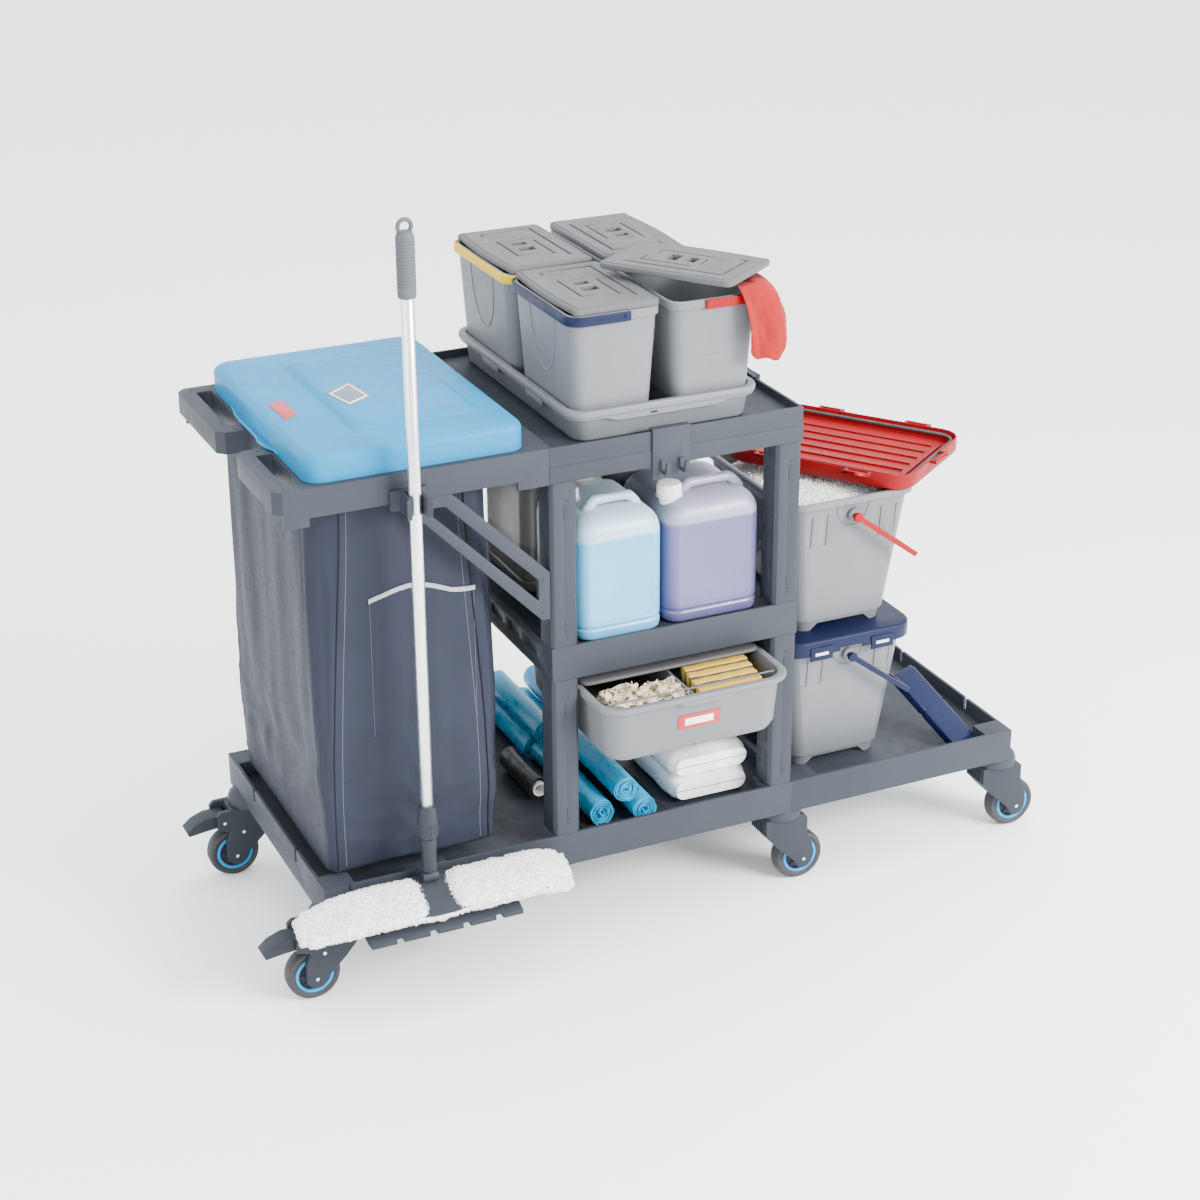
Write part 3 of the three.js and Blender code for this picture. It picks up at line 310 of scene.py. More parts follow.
def refined(node, look, edge, carve=None, extra=None, segments=2):
    """A CAD solid's own shape with rounded edges, carved details and added ones."""
    bm = bmesh.new()
    bm.from_mesh(frame["nodes"][node].data)
    bmesh.ops.remove_doubles(bm, verts=bm.verts, dist=0.01 * MM)
    bmesh.ops.dissolve_limit(bm, angle_limit=math.radians(1), verts=bm.verts, edges=bm.edges)
    bmesh.ops.triangulate(bm, faces=[face for face in bm.faces if len(face.verts) > 4])
    bmesh.ops.join_triangles(bm, faces=bm.faces, angle_face_threshold=0.02, angle_shape_threshold=3)
    bmesh.ops.transform(bm, matrix=place(0, 0, 0).inverted(), verts=bm.verts)
    if extra:
        extra(bm)
    return finished(node + "_moulding", bm, BODY_OF[node], look, [node], edge, carve=carve,
                    segments=segments, outward=False)


def geometry_tree(name, inputs):
    """A Geometry Nodes tree that spreads a shape on points and paints it, ready to be filled in."""
    tree = bpy.data.node_groups.new(name, "GeometryNodeTree")
    tree.interface.new_socket("Geometry", in_out="OUTPUT", socket_type="NodeSocketGeometry")
    for socket, kind in {**inputs, "Material": "Material"}.items():
        tree.interface.new_socket(socket, in_out="INPUT", socket_type="NodeSocket" + kind)
    ends = tree.nodes.new("NodeGroupInput")
    spread = tree.nodes.new("GeometryNodeInstanceOnPoints")
    real = tree.nodes.new("GeometryNodeRealizeInstances")
    coat = tree.nodes.new("GeometryNodeSetMaterial")
    out = tree.nodes.new("NodeGroupOutput")
    joined(tree, (spread, "Instances", real, "Geometry"), (real, "Geometry", coat, "Geometry"),
           (ends, "Material", coat, "Material"), (coat, "Geometry", out, "Geometry"))
    return tree, ends, spread


def joined(tree, *links):
    """Links sockets: each link is a node, its output, the next node and its input."""
    for source, output, target, socket in links:
        tree.links.new(source.outputs[output], target.inputs[socket])


def grown(name, mesh, tree, move=None, **values):
    """A piece grown from a mesh by a Geometry Nodes tree, as a plain mesh in the frame's place."""
    piece = bpy.data.objects.new(name, mesh)
    bpy.context.scene.collection.objects.link(piece)
    growth = piece.modifiers.new("growth", "NODES")
    growth.node_group = tree
    for socket in tree.interface.items_tree:
        if socket.name in values:
            growth[socket.identifier] = values[socket.name]
    applied(piece)
    if move is not None:
        piece.data.transform(move)
    return piece


def rib_grid():
    """Geometry Nodes: ribs of one size spread along X or Y from a start point."""
    tree, ends, spread = geometry_tree("rib_grid", {"Count": "Int", "Start": "Vector", "Pitch": "Vector",
                                                    "Size": "Vector"})
    line = tree.nodes.new("GeometryNodeMeshLine")
    cube = tree.nodes.new("GeometryNodeMeshCube")
    joined(tree, (ends, "Count", line, "Count"), (ends, "Start", line, "Start Location"),
           (ends, "Pitch", line, "Offset"), (ends, "Size", cube, "Size"),
           (line, "Mesh", spread, "Points"), (cube, "Mesh", spread, "Instance"))
    return tree


RIB_TREE = rib_grid()


def ribs(name, body, look, count, start, pitch, size, move=None):
    """One row of ribs; start is the middle of the first, all in millimetres."""
    start, pitch, metres = [[value * MM for value in values] for values in (start, pitch, size)]
    piece = grown(name, bpy.data.meshes.new(name), RIB_TREE, move or place(0, 0, 0), Count=count,
                  Start=start, Pitch=pitch, Size=metres, Material=look)
    bevelled(piece, min(0.6, 0.3 * min(size)))
    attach(piece, body)


frame_plastic = moulded("frame_plastic", FRAME_GREY, 0.5)
for module, left, right in (("base_deck", 0, BAY_RIGHT), ("base_extension", BAY_RIGHT, 1423)):
    refined(module, frame_plastic, 1.6)
    across = int((right - left - 60) / RIB_PITCH)
    ribs(module + "_cross_ribs", "frame", frame_plastic, across,
         (left + 75, DEPTH / 2, 187), (RIB_PITCH, 0, 0), (RIB_THICK, DEPTH - 14, 22))
    ribs(module + "_long_ribs", "frame", frame_plastic, 5,
         ((left + right) / 2, 95, 187), (0, RIB_PITCH, 0), (right - left - 14, RIB_THICK, 22))


def stepped_band(z0, z1, x0=BAY_LEFT, x1=BAY_RIGHT):
    """The lower part of a shelf's rim stands a little proud on its front and rear."""
    def add(bm):
        for y0, y1 in ((-1.0, 0.5), (DEPTH - 0.5, DEPTH + 1.0)):
            block(bm, x0, x1, y0, y1, z0, z1)
        block(bm, x1 - 0.5, x1 + 1.0, 0, DEPTH, z0, z1)
    return add


shelf_slots = bmesh.new()
for spot in range(6):
    block(shelf_slots, 436, 442, 70 + spot * 78, 118 + spot * 78, 572, 590)
refined("middle_shelf", frame_plastic, 1.2, carve=shelf_slots)
refined("top_shelf", frame_plastic, 1.2, extra=stepped_band(920.4, 950))
for shelf, level in (("middle", 578), ("top", 953)):
    ribs(shelf + "_shelf_cross_ribs", "frame", frame_plastic, 5,
         (493, DEPTH / 2, level), (96, 0, 0), (RIB_THICK, DEPTH - 14, 24))

# ---- Posts ---------------------------------------------------------------------------------------
# Eight hollow moulded posts, four below the middle shelf and four above it. Their side faces have
# moulded slots, and the outer ones show a seam mark and the small heads of snap pegs.
POST_W, POST_D = 51, 55
POST_CORNERS = [(x, y) for x in (BAY_LEFT, BAY_RIGHT - POST_W) for y in (0, DEPTH - POST_D)]
POST_NAMES = ["front_left", "rear_left", "front_right", "rear_right"]


def stud_tree():
    """Geometry Nodes: a round stud on every point, standing along the point's facing."""
    tree, ends, spread = geometry_tree("studs", {"Geometry": "Geometry", "Radius": "Float",
                                                 "Height": "Float"})
    disc = tree.nodes.new("GeometryNodeMeshCylinder")
    disc.inputs["Vertices"].default_value = 20
    facing = tree.nodes.new("GeometryNodeInputNamedAttribute")
    facing.data_type = "FLOAT_VECTOR"
    facing.inputs["Name"].default_value = "facing"
    turn = tree.nodes.new("FunctionNodeAlignRotationToVector")
    turn.axis = "Z"
    joined(tree, (ends, "Radius", disc, "Radius"), (ends, "Height", disc, "Depth"),
           (facing, "Attribute", turn, "Vector"), (ends, "Geometry", spread, "Points"),
           (disc, "Mesh", spread, "Instance"), (turn, "Rotation", spread, "Rotation"))
    return tree


STUD_TREE = stud_tree()


def studs(name, body, look, spots, facing, radius, height, edge=0.3):
    """Round heads of one size at spots in millimetres, rounded at their edges."""
    mesh = bpy.data.meshes.new(name)
    mesh.from_pydata([Vector(spot) * MM for spot in spots], [], [])
    way = mesh.attributes.new("facing", "FLOAT_VECTOR", "POINT")
    for item in way.data:
        item.vector = facing
    piece = grown(name, mesh, STUD_TREE, place(0, 0, 0), Radius=radius * MM, Height=height * MM,
                  Material=look)
    if edge:
        bevelled(piece, edge)
    piece.data.shade_smooth()
    piece.data.set_sharp_from_angle(angle=math.radians(40))
    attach(piece, body)


peg_dark = moulded("peg_dark", shade(FRAME_GREY, 0.45), 0.6)
for tier, foot in (("lower", 235), ("upper", 610)):
    for place_name, (x, y) in zip(POST_NAMES, POST_CORNERS):
        slots = bmesh.new()
        inner = x + POST_W if x == BAY_LEFT else x
        for step in range(5):
            z = foot + 42 + step * 52
            block(slots, inner - 1.2, inner + 1.2, y + 12, y + 17, z, z + 30)
            block(slots, inner - 1.2, inner + 1.2, y + 38, y + 43, z, z + 30)
        outer = y if y == 0 else y + POST_D
        for low in (foot + 26, foot + 238):
            block(slots, x + 24, x + 25.6, outer - 0.8, outer + 0.8, low, low + 28)
        node = f"post_{tier}_{place_name}"
        refined(node, frame_plastic, 1.0, carve=slots)
        side = -0.2 if y == 0 else DEPTH + 0.2
        marks = [(x + 29, side, foot + 22), (x + 29, side, foot + 30), (x + 29, side, foot + 276)]
        studs(node + "_marks", "frame", peg_dark, marks,
              (0, -1 if y == 0 else 1, 0), 1.3, 0.8, 0.0)

# ---- Bag frame, push handles and braces ----------------------------------------------------------
# One large moulding: a skirted ring for the bag with two hand loops at its left end. A flat
# slotted brace on each side carries it to the upper posts, with a screw at each end.
refined("bag_frame", frame_plastic, 2.4, segments=3)
screw_dark = moulded("screw_dark", (0.03, 0.032, 0.036), 0.4)
corner_screws = [(-20, 12, 985.2), (-20, 558, 985.2), (-8, 205, 985.2), (-8, 325, 985.2)]
corner_screws += [(425, 14, 985.2), (425, 556, 985.2)]
studs("bag_frame_screws", "frame", screw_dark, corner_screws, (0, 0, 1), 3.6, 1.0)
for node, y in (("brace_front", 2.6), ("brace_rear", 567.4)):
    refined(node, frame_plastic, 1.6, segments=3)
    facing = (0, -1 if y < 100 else 1, 0)
    studs(node + "_screws", "frame", screw_dark,
          [(428, y, 684), (428, y, 744), (222, y, 921)], facing, 3.2, 1.2)

# ---- Casters -------------------------------------------------------------------------------------
# Six 100 mm swivel casters: grey tyres with a sky blue ring, ribbed polyamide forks turning
# under the deck's domes, steel pins, and a foot brake on the two at the handle end.
CASTER_GREY = (0.021, 0.0255, 0.033)
caster_plastic = moulded("caster_plastic", CASTER_GREY, 0.46)
ring_blue = moulded("ring_blue", (0.002, 0.22, 0.5), 0.4)


def metal(name, colour, rough, streak=(1.0, 1.0, 1.0), scale=60.0):
    """Bare metal with fine streaks in its polish."""
    paint, tree, shader, where = wired(name)
    lines = cloudy(tree, where, scale, 6.0, 0.7, streak)
    tone = blended(tree, ranged(tree, lines, 0.3, 0.7, 0, 1), shade(colour, 0.9), shade(colour, 1.05))
    tree.links.new(tone, shader.inputs["Base Color"])
    tree.links.new(ranged(tree, lines, 0.3, 0.7, rough - 0.08, rough + 0.1), shader.inputs["Roughness"])
    shader.inputs["Metallic"].default_value = 1.0
    raised(tree, shader, lines, 0.12, 0.1)
    return paint


def rubber(name, colour):
    paint, tree, shader, where = wired(name)
    dust = cloudy(tree, where, 48.0, 8.0, 0.65)
    tone = blended(tree, ranged(tree, dust, 0.45, 0.75, 0, 1), colour, shade(colour, 1.9))
    tree.links.new(tone, shader.inputs["Base Color"])
    tree.links.new(ranged(tree, dust, 0.3, 0.7, 0.55, 0.8), shader.inputs["Roughness"])
    raised(tree, shader, cloudy(tree, where, 1500, 2.0), 0.2, 0.3)
    return paint


def lathe(bm, axis, profile, centre=(0, 0, 0), segments=48, ends=True):
    """Turns a profile of (radius, height) about an axis through a centre."""
    rings = []
    for radius, height in profile:
        ring = []
        for step in range(segments):
            angle = 2 * math.pi * step / segments
            u, v = radius * math.cos(angle), radius * math.sin(angle)
            spot = {"z": (u, v, height), "y": (v, height, u), "x": (height, u, v)}[axis]
            ring.append(tuple(a + b for a, b in zip(spot, centre)))
        rings.append(ring)
    skin(bm, rings, ends, ends)


pin_steel = metal("pin_steel", (0.75, 0.76, 0.78), 0.25)
tyre_rubber = rubber("tyre_rubber", (0.016, 0.017, 0.019))
TYRE = [(34, -13), (36, -14.6), (43, -16), (47.5, -14), (49.7, -9), (50, 0), (49.7, 9), (47.5, 14),
        (43, 16), (36, 14.6), (34, 13), (34, -13)]
RING = [(29.5, -14.2), (30.5, -15.6), (34.6, -15.6), (35.8, -14.2), (35.8, 14.2), (34.6, 15.6),
        (30.5, 15.6), (29.5, 14.2), (29.5, -14.2)]
HUB = [(5.6, -14.6), (10.5, -14.6), (11.5, -13.6), (12.5, -10.5), (26.5, -10.5), (28, -13.2),
       (29.4, -13.2), (29.4, 13.2), (28, 13.2), (26.5, 10.5), (12.5, 10.5), (11.5, 13.6),
       (10.5, 14.6), (5.6, 14.6), (5.6, -14.6)]
for column, sign in (("left", -1), ("middle", 1), ("right", 1)):
    for row in ("front", "rear"):
        key = f"{row}_{column}"
        low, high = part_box("wheel_" + key)
        axle = place(0, 0, 0).inverted() @ ((low + high) / 2)
        spot = place(axle.x / MM, axle.y / MM, axle.z / MM)
        for part, profile, look, slot in (("tyre", TYRE, tyre_rubber, "tyre_rubber"),
                                          ("ring", RING, ring_blue, "lid_blue"),
                                          ("hub", HUB, caster_plastic, "caster_plastic")):
            bm = bmesh.new()
            lathe(bm, "y", profile, segments=72, ends=False)
            stands = ["wheel_" + key] if part == "tyre" else []
            finished(f"wheel_{key}_{part}", bm, "wheel_" + key, look, stands, move=spot)
        spokes = bmesh.new()
        for spoke in range(8):
            angle = math.radians(45 * spoke)
            turn = Matrix.Rotation(angle, 4, "Y")
            for y0, y1 in ((-12.8, -9.5), (9.5, 12.8)):
                start = len(spokes.verts)
                block(spokes, 10, 28, y0, y1, -1.6, 1.6)
                spokes.verts.ensure_lookup_table()
                bmesh.ops.transform(spokes, matrix=turn, verts=spokes.verts[start:])
        finished(f"wheel_{key}_spokes", spokes, "wheel_" + key, caster_plastic, (),
                 0.7, move=spot)
        fork = f"caster_fork_{key}"
        refined(fork, caster_plastic, 2.6, segments=3)
        x, y, z = (value / MM for value in axle)
        nose = x - sign * 85
        ribs(fork + "_nose_ribs", BODY_OF[fork], caster_plastic, 7,
             (nose + sign * 0.6, y - 24, 130), (0, 8, 0), (3.0, 2.4, 26))
        for side in (-1, 1):
            pins = [(x, y + side * 31.2, 50)]
            if column == "left":
                pins += [(x - 20, y + side * 31.2, 126), (x + 16, y + side * 31.2, 100)]
            studs(f"{fork}_pins_{'front' if side < 0 else 'rear'}", BODY_OF[fork], pin_steel,
                  pins, (0, side, 0), 3.4, 1.6, 0.5)
        if column == "left":
            pedal = f"brake_pedal_{row}"
            refined(pedal, caster_plastic, 1.6, segments=3)
            ribs(pedal + "_grips", BODY_OF[pedal], caster_plastic, 6,
                 (x - 52, y, 123.0), (-4.4, 0, -2.2), (2.2, 30, 2.6))

# ---- Waste bag -----------------------------------------------------------------------------------
# A box shaped bag of coated woven polyester, hung inside the ring by its hem and standing slack on
# the base. Four panels meet in piped seams, and a pale bound pocket edge crosses the front.
BAG_X = (21, 349)  # clear of the ring's opening
BAG_Y = (39, 531)
BAG_Z = (240, 978)
BAG_COLUMNS = 240
BAG_ROWS = 150
BAG_BLUE = (0.0165, 0.0195, 0.031)


def woven(name, colour, pitch, sheen, rough, depth, fleck=0.12, wave=None):
    """Plain woven cloth: crossing threads of a pitch in millimetres, with slubs and soft sheen."""
    paint, tree, shader, where = wired(name)
    threads = []
    for axis, share in (("X", 1.0), ("Z", 1.0), ("Y", 1.0)):
        band = tree.nodes.new("ShaderNodeTexWave")
        band.bands_direction = axis
        band.inputs["Scale"].default_value = 0.314 / (pitch * MM)
        band.inputs["Distortion"].default_value = 0.6
        tree.links.new(where, band.inputs["Vector"])
        threads.append(band.outputs["Fac"])
    total = threads[0]
    for other in threads[1:]:
        add = tree.nodes.new("ShaderNodeMath")
        add.operation = "ADD"
        tree.links.new(total, add.inputs[0])
        tree.links.new(other, add.inputs[1])
        total = add.outputs["Value"]
    slub = cloudy(tree, where, 120.0, 5.0, 0.6, wave)
    broad = cloudy(tree, where, 5.0, 3.0)
    base = blended(tree, ranged(tree, broad, 0.3, 0.7, 0, 1), shade(colour, 0.9), shade(colour, 1.12))
    pale = tuple(channel * 1.5 + 0.005 for channel in colour)
    tone = blended(tree, ranged(tree, slub, 0.55, 0.8, 0, fleck), base, pale)
    tree.links.new(tone, shader.inputs["Base Color"])
    tree.links.new(ranged(tree, slub, 0.3, 0.7, rough - 0.06, rough + 0.08), shader.inputs["Roughness"])
    shader.inputs["Sheen Weight"].default_value = sheen
    shader.inputs["Sheen Roughness"].default_value = 0.4
    shader.inputs["Specular IOR Level"].default_value = 0.1
    raised(tree, shader, total, depth, 0.25)
    return paint


def eased(value):
    value = min(1.0, max(0.0, value))
    return value * value * (3 - 2 * value)


def bag_corner(height):
    """The corner radius grows towards the hem, where the panels wrap round the ring."""
    return 16 + 38 * eased(height)


def bag_spot(column, row):
    """A point of the bag's wall with its folds, in millimetres."""
    height = row / BAG_ROWS
    z = BAG_Z[0] + (BAG_Z[1] - BAG_Z[0]) * height
    hang = math.sin(math.pi * min(1.0, height * 1.05))
    width = BAG_X[1] - BAG_X[0] - 10 * (1 - eased(height * 3)) + 5 * hang
    depth = BAG_Y[1] - BAG_Y[0] - 8 * (1 - eased(height * 3)) + 5 * hang
    cx, cy = sum(BAG_X) / 2, sum(BAG_Y) / 2
    radius = bag_corner(height)
    straight_x, straight_y = width - 2 * radius, depth - 2 * radius
    panels = [24, 36, 24, 36] * 2
    index = column
    side = 0
    while index >= panels[side]:
        index -= panels[side]
        side += 1
    share = index / panels[side]
    corners = [(1, 1), (-1, 1), (-1, -1), (1, -1)]
    turn, straight = side // 2, side % 2 == 1
    if straight:
        nx, ny = [(0, 1), (-1, 0), (0, -1), (1, 0)][turn]
        long = straight_x if turn % 2 == 0 else straight_y
        along = long * (0.5 - share)
        if turn == 0:
            x, y = along, depth / 2
        elif turn == 1:
            x, y = -width / 2, along
        elif turn == 2:
            x, y = -along, -depth / 2
        else:
            x, y = width / 2, -along
    else:
        sx, sy = corners[turn]
        angle = math.radians(90 * turn + 90 * share)
        nx, ny = math.cos(angle), math.sin(angle)
        x = sx * (width / 2 - radius) + radius * nx
        y = sy * (depth / 2 - radius) + radius * ny
    around = Vector((nx, ny)) * 1.6
    soft = eased((1 - height) * 9) * eased(height * 14 + 0.15)
    flutes = noise.noise(Vector((x * 0.016 + around.x, y * 0.016 + around.y, z * 0.0022 + 3)))
    fine = noise.noise(Vector((x * 0.045 + around.x, y * 0.045 + around.y, z * 0.006 + 9)))
    slack = noise.noise(Vector((x * 0.012 + 5, y * 0.012, z * 0.012 + x * 0.008)))
    crumple = noise.noise(Vector((x * 0.035 + 2, y * 0.035 + 7, z * 0.03)))
    low = eased(1.25 - height * 2.2)
    push = (6.0 * flutes + 1.6 * fine) * (0.5 + 0.5 * height) + 5.0 * slack * low + 1.2 * crumple * low
    ridge = 1 - abs(noise.noise(Vector((x * 0.02 + 1, y * 0.02 + 4, z * 0.017 + y * 0.009)))) * 2
    push += 1.6 * (max(0.0, ridge) ** 3 - 0.3) * low
    push = max(-13.0, min(6.0, push * 1.25)) * soft
    lift = 2.0 * math.sin(column * 0.21) * (1 - height) ** 3 if height < 0.3 else 0.0
    return (cx + x + nx * push, cy + y + ny * push, z + lift)


def wall_ring(row, inset=0.0):
    ring = [bag_spot(column, row) for column in range(BAG_COLUMNS)]
    cx, cy = sum(BAG_X) / 2, sum(BAG_Y) / 2
    return [(cx + (x - cx) * (1 - inset), cy + (y - cy) * (1 - inset), z) for x, y, z in ring]


bag_cloth = woven("bag_cloth", BAG_BLUE, 0.9, 0.02, 0.52, 0.1)
bag_mesh = bmesh.new()
floor_rings = [[(x, y, BAG_Z[0] + 3 + 2 * share) for x, y, _ in wall_ring(0, share)]
               for share in (0.98, 0.7, 0.4, 0.15, 0.04)]
wall_rings = [wall_ring(row) for row in range(BAG_ROWS + 1)]
skin(bag_mesh, floor_rings + wall_rings, start=True, end=False)
bag = finished("bag_shell", bag_mesh, "frame", bag_cloth, ["bag"], angle=180,
               outward=False)
thickened(bag, "frame", 1.2)


def pipe(bm, path, radius, sides=8, ends=True):
    """A round bar along a path of points in millimetres."""
    points = [Vector(point) for point in path]
    rings = []
    up = Vector((0.13, 0.37, 0.92))
    for i, point in enumerate(points):
        before, after = points[max(0, i - 1)], points[min(len(points) - 1, i + 1)]
        along = (after - before).normalized()
        across = up - along * up.dot(along)
        if across.length < 0.05:
            across = along.orthogonal()
        across.normalize()
        up = across
        other = along.cross(across)
        size = radius[i] if isinstance(radius, (list, tuple)) else radius
        ring = []
        for step in range(sides):
            angle = 2 * math.pi * step / sides
            ring.append(tuple(point + (across * math.cos(angle) + other * math.sin(angle)) * size))
        rings.append(ring)
    skin(bm, rings, ends, ends)


piping_cloth = woven("piping_cloth", shade(BAG_BLUE, 0.35), 0.8, 0.1, 0.7, 0.2)
SEAM_COLUMNS = {"front_left": 144, "front_right": 180, "rear_left": 60, "rear_right": 24,
                "side_right": 203}
for seam, column in SEAM_COLUMNS.items():
    seam_mesh = bmesh.new()
    pipe(seam_mesh, [bag_spot(column % BAG_COLUMNS, row) for row in range(1, BAG_ROWS - 8)], 1.7)
    finished("bag_piping_" + seam, seam_mesh, "frame", piping_cloth, (), angle=180)


def stitch_tree():
    """Geometry Nodes: short thread stitches laid end to end along a line of edges."""
    tree, ends, spread = geometry_tree("stitches", {"Geometry": "Geometry", "Pitch": "Float",
                                                    "Thread": "Float"})
    curve = tree.nodes.new("GeometryNodeMeshToCurve")
    even = tree.nodes.new("GeometryNodeResampleCurve")
    even.mode = "LENGTH"
    points = tree.nodes.new("GeometryNodeCurveToPoints")
    points.mode = "EVALUATED"
    stitch = tree.nodes.new("GeometryNodeMeshCylinder")
    stitch.inputs["Vertices"].default_value = 6
    half = tree.nodes.new("ShaderNodeMath")
    half.operation = "MULTIPLY"
    half.inputs[1].default_value = 0.62
    turn = tree.nodes.new("FunctionNodeAlignRotationToVector")
    turn.axis = "Z"
    joined(tree, (ends, "Geometry", curve, "Mesh"), (curve, "Curve", even, "Curve"),
           (ends, "Pitch", even, "Length"), (even, "Curve", points, "Curve"),
           (points, "Tangent", turn, "Vector"), (ends, "Thread", stitch, "Radius"),
           (ends, "Pitch", half, 0), (half, "Value", stitch, "Depth"),
           (points, "Points", spread, "Points"), (stitch, "Mesh", spread, "Instance"),
           (turn, "Rotation", spread, "Rotation"))
    return tree


STITCH_TREE = stitch_tree()


def stitches(name, body, look, path, pitch, thread):
    mesh = bpy.data.meshes.new(name)
    mesh.from_pydata([Vector(spot) * MM for spot in path], [(i, i + 1) for i in range(len(path) - 1)], [])
    piece = grown(name, mesh, STITCH_TREE, place(0, 0, 0), Pitch=pitch * MM, Thread=thread * MM,
                  Material=look)
    piece.data.shade_smooth()
    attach(piece, body)


def front_spot(x, z, proud=0.0):
    """The point of the bag's front panel nearest to an x, at a height."""
    row = (z - BAG_Z[0]) / (BAG_Z[1] - BAG_Z[0]) * BAG_ROWS
    low = int(row)
    best = min(range(144, 181), key=lambda column: abs(bag_spot(column, low)[0] - x))
    first, second = bag_spot(best, low), bag_spot(best, low + 1)
    y = first[1] + (second[1] - first[1]) * (row - low)
    return (x, y - proud, z)


thread_grey = woven("thread_grey", (0.14, 0.15, 0.18), 0.6, 0.1, 0.7, 0.1)
for seam, offset in (("front_left", 2), ("front_right", -2), ("rear_left", 2), ("rear_right", -2)):
    column = SEAM_COLUMNS[seam] + offset
    stitches("bag_stitches_" + seam, "frame", thread_grey,
             [bag_spot(column, row) for row in range(2, BAG_ROWS - 9)], 4.2, 0.55)
binding_cloth = woven("binding_cloth", (0.34, 0.34, 0.36), 0.8, 0.3, 0.7, 0.3)
edge_path = []
for step in range(41):
    x = 118 + (312 - 118) * step / 40
    drop = 751 + 15 * math.sin(math.pi * min(1.0, (x - 118) / 150)) - 10 * eased((x - 200) / 112)
    edge_path.append(front_spot(x, drop, 1.6))
binding = bmesh.new()
for offset in (-3.4, 3.4):
    pipe(binding, [(x, y - 0.2, z + offset) for x, y, z in edge_path], 0.9, 6)
skin(binding, [[(x, y - dy, z + dz) for dy, dz in ((-0.8, -3.6), (1.3, -3.6), (1.3, 3.6), (-0.8, 3.6))]
               for x, y, z in edge_path])
finished("pocket_binding", binding, "frame", binding_cloth, (), angle=60)
for offset in (-2.3, 2.3):
    path = [(x, y - 1.5, z + offset) for x, y, z in edge_path]
    stitches(f"pocket_stitches_{'low' if offset < 0 else 'high'}", "frame", thread_grey,
             path, 3.4, 0.4)
for name, x in (("left", 120), ("right", 310)):
    drop = [front_spot(x, 745 - 10 * step, 0.9) for step in range(26)]
    stitches("pocket_side_" + name, "frame", thread_grey, drop, 4.2, 0.4)

# ---- Bag lid -------------------------------------------------------------------------------------
# A hinged cover thermoformed from milky sky blue plastic, with a soft shoulder, a raised field in
# the middle and a wavy finger lip at the handle end. Two blank labels are stuck to it.
LID_X = (16, 406)
LID_Y = (14, 556)


def milky(name, colour, rough, glow=0.25):
    """Thin tinted plastic that lets some light through its body."""
    paint, tree, shader, where = wired(name)
    flow = cloudy(tree, where, 7.0, 3.0)
    base = blended(tree, ranged(tree, flow, 0.3, 0.7, 0, 1), shade(colour, 0.96), shade(colour, 1.04))
    wear = cloudy(tree, where, 42.0, 9.0, 0.72)
    pale = tuple(0.9 * channel + 0.012 for channel in colour)
    tree.links.new(blended(tree, ranged(tree, wear, 0.64, 0.8, 0, 0.25), base, pale),
                   shader.inputs["Base Color"])
    tree.links.new(ranged(tree, wear, 0.35, 0.75, rough - 0.06, rough + 0.12), shader.inputs["Roughness"])
    shader.inputs["Specular IOR Level"].default_value = 0.16
    shader.inputs["Subsurface Weight"].default_value = glow
    shader.inputs["Subsurface Scale"].default_value = 0.012
    shader.inputs["Subsurface Radius"].default_value = (0.6, 0.9, 1.0)
    raised(tree, shader, cloudy(tree, where, 700, 2.0), 0.06, 0.2)
    return paint


def lid_rings(inset, drop, foot):
    """The lid's surface from its bottom edge up to the middle, moved in by a wall."""
    cx, cy = sum(LID_X) / 2, sum(LID_Y) / 2
    w, d = LID_X[1] - LID_X[0] - 2 * inset, LID_Y[1] - LID_Y[0] - 2 * inset
    rings = [rounded(cx, cy, w, d, 32 - inset, foot, 10), rounded(cx, cy, w, d, 32 - inset, 1008, 10)]
    rings.append(rounded(cx, cy, w, d, 32 - inset, 1019 - drop, 10))
    for step in range(1, 7):
        angle = math.pi / 2 * step / 6
        pull = 13 * (1 - math.cos(angle))
        rings.append(rounded(cx, cy, w - 2 * pull, d - 2 * pull, 32 - inset - pull * 0.5,
                             1019 + 14 * math.sin(angle) - drop, 10))
    for share, lift in ((0.25, 0.7), (0.6, 1.4), (0.9, 1.8), (1.0, 2.0)):
        pull = 26 + 54 * share
        rings.append(rounded(cx + 30 * share, cy, w - 2 * pull, d - 2 * pull, 22, 1033 + lift - drop, 10))
    for pull, lift in ((81, 2.6), (86, 6.5), (90, 8.8), (96, 9.6), (104, 9.8), (150, 10.0), (184, 10.0)):
        rings.append(rounded(cx + 30, cy, w - 2 * pull, d - 2 * pull, max(4, 20 - (pull - 81) * 0.3),
                             1033 + lift - drop, 10))
    return rings


lid_blue = milky("lid_blue", (0.0, 0.175, 0.36), 0.42, 0.06)
lid_mesh = bmesh.new()
outer, inner = lid_rings(0, 0, 985.4), lid_rings(3.0, 3.0, 985.4)
skin(lid_mesh, inner[::-1] + outer, start=True, end=True)
finished("bag_lid_cover", lid_mesh, "bag_lid", lid_blue, ["bag_lid"], angle=50)
lip_mesh = bmesh.new()
LIP = [(20, 424), (18, 409), (13, 378), (12, 334), (13, 266), (9, 236), (13, 205), (26, 172), (30, 160)]
lip_path = []
for (x0, y0), (x1, y1) in zip(LIP, LIP[1:]):
    for step in range(5):
        share = eased(step / 5)
        lip_path.append((x0 + (x1 - x0) * share, y0 + (y1 - y0) * step / 5))
lip_rings = []
for x, y in lip_path:
    reach = min(x - 4, 16)
    lip_rings.append([(22, y, 985.6), (reach, y, 985.8), (reach - 2.2, y, 987.4), (reach - 2.2, y, 990.4),
                      (reach - 0.4, y, 991.6), (reach + 2, y, 990.6), (22, y, 991.4)])
skin(lip_mesh, lip_rings)
